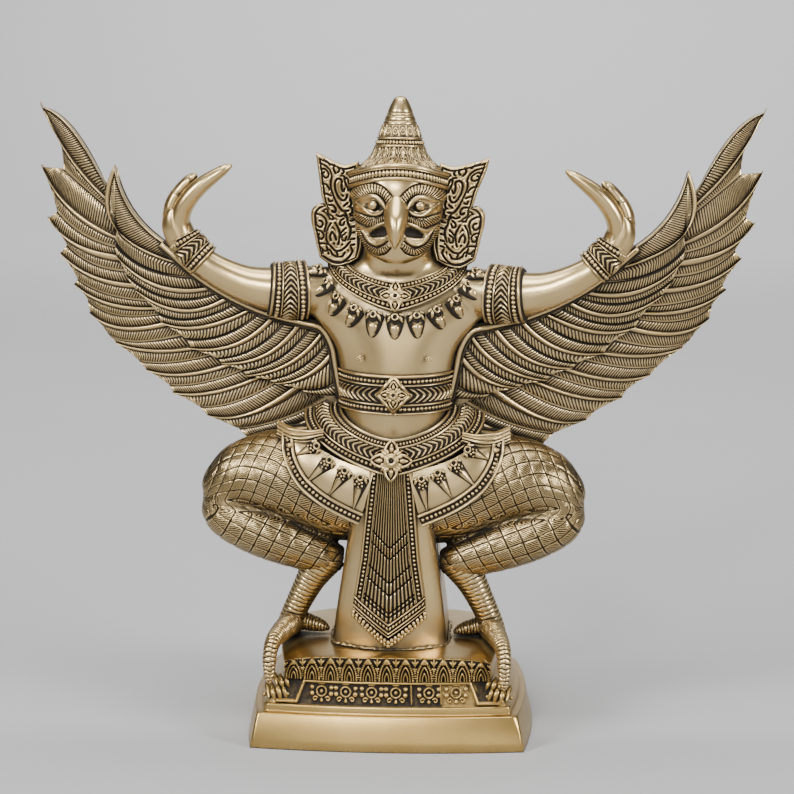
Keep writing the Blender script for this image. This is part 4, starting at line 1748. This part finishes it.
def make_braze():
    """The rough brazed line round the foot of the block"""
    piece = Piece()
    half = [(26.6, 23.2), (27.8, 20), (28.0, 0), (27.8, -20), (26.2, -23.6), (18, -29.6), (9, -33.2)]
    path = curve([(0, -34.4), *((-x, y) for x, y in half[::-1]), (0, 23.4), *half, (0, -34.4)], 400)

    def place(u, v):
        middle = read(path, u)
        turn = v * 2 * np.pi
        run = u * 2 * np.pi
        rough = (0.95 + 0.22 * np.sin(run * 37 + 1.3 * np.sin(turn + 2)) + 0.2 * np.sin(run * 61 + 2.1)
                 + 0.14 * np.sin(run * 143 + 3 * turn) + 0.3 * np.sin(run * 9 + 0.7))
        out = unit(np.stack([middle[:, 0] * 0.6, middle[:, 1]], 1))
        side, rise = rough * np.cos(turn) * 1.1, rough * np.sin(turn) * 0.75
        points = np.column_stack([middle + out * side[:, None], 0.15 + rise])
        return points, np.clip(0.55 - 0.6 * np.sin(turn), 0, 0.9), None
    piece.sheet(360, 8, place, merge=True)
    piece.finish("brazed_line", chased())


# Stage

FLOOR_WIDTH, FLOOR_LENGTH, FLOOR_NEAR = 12, 9, -2.2
FLAT_RUN, BEND_RUN, BEND_RADIUS = 5.4, 1.6, 1.02
FRAME_PIXELS, FOCAL_PIXELS, SHIFT_PIXELS = 794, 2091, 5
CAMERA_TURN, CAMERA_DROP = math.radians(3), math.radians(9.07)
CAMERA_REACH, CAMERA_HEIGHT = 1.0, 0.32


def make_floor():
    """A floor that bends up into a wall behind the figure, in metres, painted paler towards the back"""
    part = bmesh.new()
    bmesh.ops.create_grid(part, x_segments=60, y_segments=120, size=0.5)
    for vert in part.verts:
        run = (vert.co.y + 0.5) * FLOOR_LENGTH
        wall = max(0.0, run - FLAT_RUN)
        bend = min(wall / BEND_RUN, 1.0) * math.pi / 2
        rise = (1 - math.cos(bend)) * BEND_RADIUS + max(0.0, wall - BEND_RUN)
        vert.co = (vert.co.x * FLOOR_WIDTH, run - wall + FLOOR_NEAR + math.sin(bend) * BEND_RADIUS, rise)
    for face in part.faces:
        face.smooth = True
    mesh = bpy.data.meshes.new("floor")
    part.to_mesh(mesh)
    part.free()
    floor = bpy.data.objects.new("floor", mesh)
    bpy.context.scene.collection.objects.link(floor)
    paint = bpy.data.materials.new("floor paint")
    paint.use_nodes = True
    tree = paint.node_tree
    shader = tree.nodes["Principled BSDF"]
    shader.inputs["Roughness"].default_value = 0.85
    place = node(tree, "ShaderNodeTexCoord").outputs["Object"]
    depth = node(tree, "ShaderNodeSeparateXYZ", [("Vector", place)]).outputs["Y"]
    clouds = noise(tree, place, 1.5)
    depth = node(tree, "ShaderNodeMath", [(0, clouds), (1, 0.1), (2, depth)], operation="MULTIPLY_ADD").outputs[0]
    near, far = ((*(part * by for part in colours().floor), 1) for by in (0.73, 1.05))
    paper = mixed(tree, ranged(tree, depth, -0.1, 1.0), near, far)
    tree.links.new(paper, shader.inputs["Base Color"])
    mesh.materials.append(paint)


def make_stage():
    scene = bpy.context.scene
    make_floor()
    world = bpy.data.worlds.new("studio")
    scene.world = world
    world.use_nodes = True
    world.node_tree.nodes["Background"].inputs["Color"].default_value = (0.64, 0.65, 0.66, 1)
    world.node_tree.nodes["Background"].inputs["Strength"].default_value = 0.115

    def lamp(name, place, target, size, power):
        light = bpy.data.lights.new(name, "AREA")
        light.shape = "RECTANGLE"
        light.size, light.size_y = size
        light.energy = power
        made = bpy.data.objects.new(name, light)
        made.location = place
        made.rotation_euler = (Vector(target) - Vector(place)).to_track_quat("-Z", "Y").to_euler()
        scene.collection.objects.link(made)

    lamp("left softbox", (-0.95, -0.8, 0.8), (0, 0, 0.17), (0.28, 0.5), 18.5)
    lamp("right softbox", (1.1, -0.65, 0.6), (0, 0, 0.17), (0.28, 0.5), 16.5)
    lamp("top softbox", (0.0, -0.25, 1.25), (0, 0, 0.15), (0.8, 0.4), 11)
    lamp("front softbox", (-0.2, -1.35, 0.85), (0, 0, 0.17), (0.3, 0.24), 13)
    lamp("low fill", (0.1, -1.6, 0.25), (0, 0, 0.12), (1.2, 0.3), 3)
    lamp("backdrop light", (0.0, 0.6, 1.9), (0, 2.3, 0.2), (2.6, 0.8), 54)
    lamp("wall light", (0.0, 2.6, 1.9), (0, 4.1, 0.5), (3.0, 0.8), 76)

    camera = bpy.data.cameras.new("camera")
    camera.sensor_width = 36
    camera.lens = FOCAL_PIXELS / FRAME_PIXELS * camera.sensor_width
    camera.shift_x = SHIFT_PIXELS / FRAME_PIXELS
    camera.clip_start = 0.05
    seat = bpy.data.objects.new("camera", camera)
    seat.location = (CAMERA_REACH * math.sin(CAMERA_TURN), -CAMERA_REACH * math.cos(CAMERA_TURN), CAMERA_HEIGHT)
    seat.rotation_euler = (math.pi / 2 - CAMERA_DROP, 0, CAMERA_TURN)
    scene.collection.objects.link(seat)
    scene.camera = seat


# What a user would press

class FIGURE_OT_wings(bpy.types.Operator):
    """Two wings of feathers with raised quills and cut barbs"""
    bl_idname = "figure.wings"
    bl_label = "Wings"

    def execute(self, context):
        make_wing("left_wing", -1, sweep=8, droop=1.5)
        make_wing("right_wing", 1, sweep=15, droop=0.3)
        return {"FINISHED"}


class FIGURE_OT_body(bpy.types.Operator):
    """Chest, belly and arms as one smooth casting, and the block that carries it"""
    bl_idname = "figure.body"
    bl_label = "Body"

    def execute(self, context):
        make_body()
        make_block()
        return {"FINISHED"}


class FIGURE_OT_head(bpy.types.Operator):
    """Head with its bird face and beak, the turned crown and the ear flaps"""
    bl_idname = "figure.head"
    bl_label = "Head and crown"

    def execute(self, context):
        make_head()
        make_crown()
        make_ears()
        return {"FINISHED"}


class FIGURE_OT_hands(bpy.types.Operator):
    """Hands, and the bands on arms and wrists"""
    bl_idname = "figure.hands"
    bl_label = "Hands and bands"

    def execute(self, context):
        make_hands()
        make_bands()
        return {"FINISHED"}


class FIGURE_OT_dress(bpy.types.Operator):
    """Collar, belt, sash and the border of the skirt"""
    bl_idname = "figure.dress"
    bl_label = "Collar and belts"

    def execute(self, context):
        make_collar()
        make_belt()
        make_sash()
        make_skirt()
        return {"FINISHED"}


class FIGURE_OT_apron(bpy.types.Operator):
    """The fluted cloth that hangs in front"""
    bl_idname = "figure.apron"
    bl_label = "Apron"

    def execute(self, context):
        make_apron()
        return {"FINISHED"}


class FIGURE_OT_legs(bpy.types.Operator):
    """Netted legs, ringed shins and claws"""
    bl_idname = "figure.legs"
    bl_label = "Legs"

    def execute(self, context):
        make_leg(-1, "left_leg")
        make_leg(1, "right_leg")
        make_shins()
        return {"FINISHED"}


class FIGURE_OT_plinth(bpy.types.Operator):
    """Stepped plinth with leaves and rosettes, and the brazed line on it"""
    bl_idname = "figure.plinth"
    bl_label = "Plinth"

    def execute(self, context):
        make_plinth()
        make_braze()
        return {"FINISHED"}


class FIGURE_OT_stage(bpy.types.Operator):
    """Floor, lights and camera"""
    bl_idname = "figure.stage"
    bl_label = "Stage"

    def execute(self, context):
        make_stage()
        return {"FINISHED"}


MAKERS = (FIGURE_OT_body, FIGURE_OT_wings, FIGURE_OT_head, FIGURE_OT_hands, FIGURE_OT_dress, FIGURE_OT_apron,
          FIGURE_OT_legs, FIGURE_OT_plinth, FIGURE_OT_stage)


class FIGURE_PT_pieces(bpy.types.Panel):
    bl_label = "Bird Figure"
    bl_space_type = "VIEW_3D"
    bl_region_type = "UI"
    bl_category = "Bird Figure"

    def draw(self, context):
        for group in (context.scene.figure_sizes, context.scene.figure_colours):
            for name in group.bl_rna.properties.keys():
                if name not in ("rna_type", "name"):
                    self.layout.prop(group, name)
        for maker in MAKERS:
            self.layout.operator(maker.bl_idname)


CLASSES = (FigureSizes, FigureColours, *MAKERS, FIGURE_PT_pieces)


def register():
    for kind in CLASSES:
        bpy.utils.register_class(kind)
    bpy.types.Scene.figure_sizes = PointerProperty(type=FigureSizes)
    bpy.types.Scene.figure_colours = PointerProperty(type=FigureColours)


def unregister():
    del bpy.types.Scene.figure_colours
    del bpy.types.Scene.figure_sizes
    for kind in reversed(CLASSES):
        bpy.utils.unregister_class(kind)


def main():
    register()
    for maker in MAKERS:
        group, name = maker.bl_idname.split(".")
        getattr(getattr(bpy.ops, group), name)()


if __name__ == "__main__":
    main()
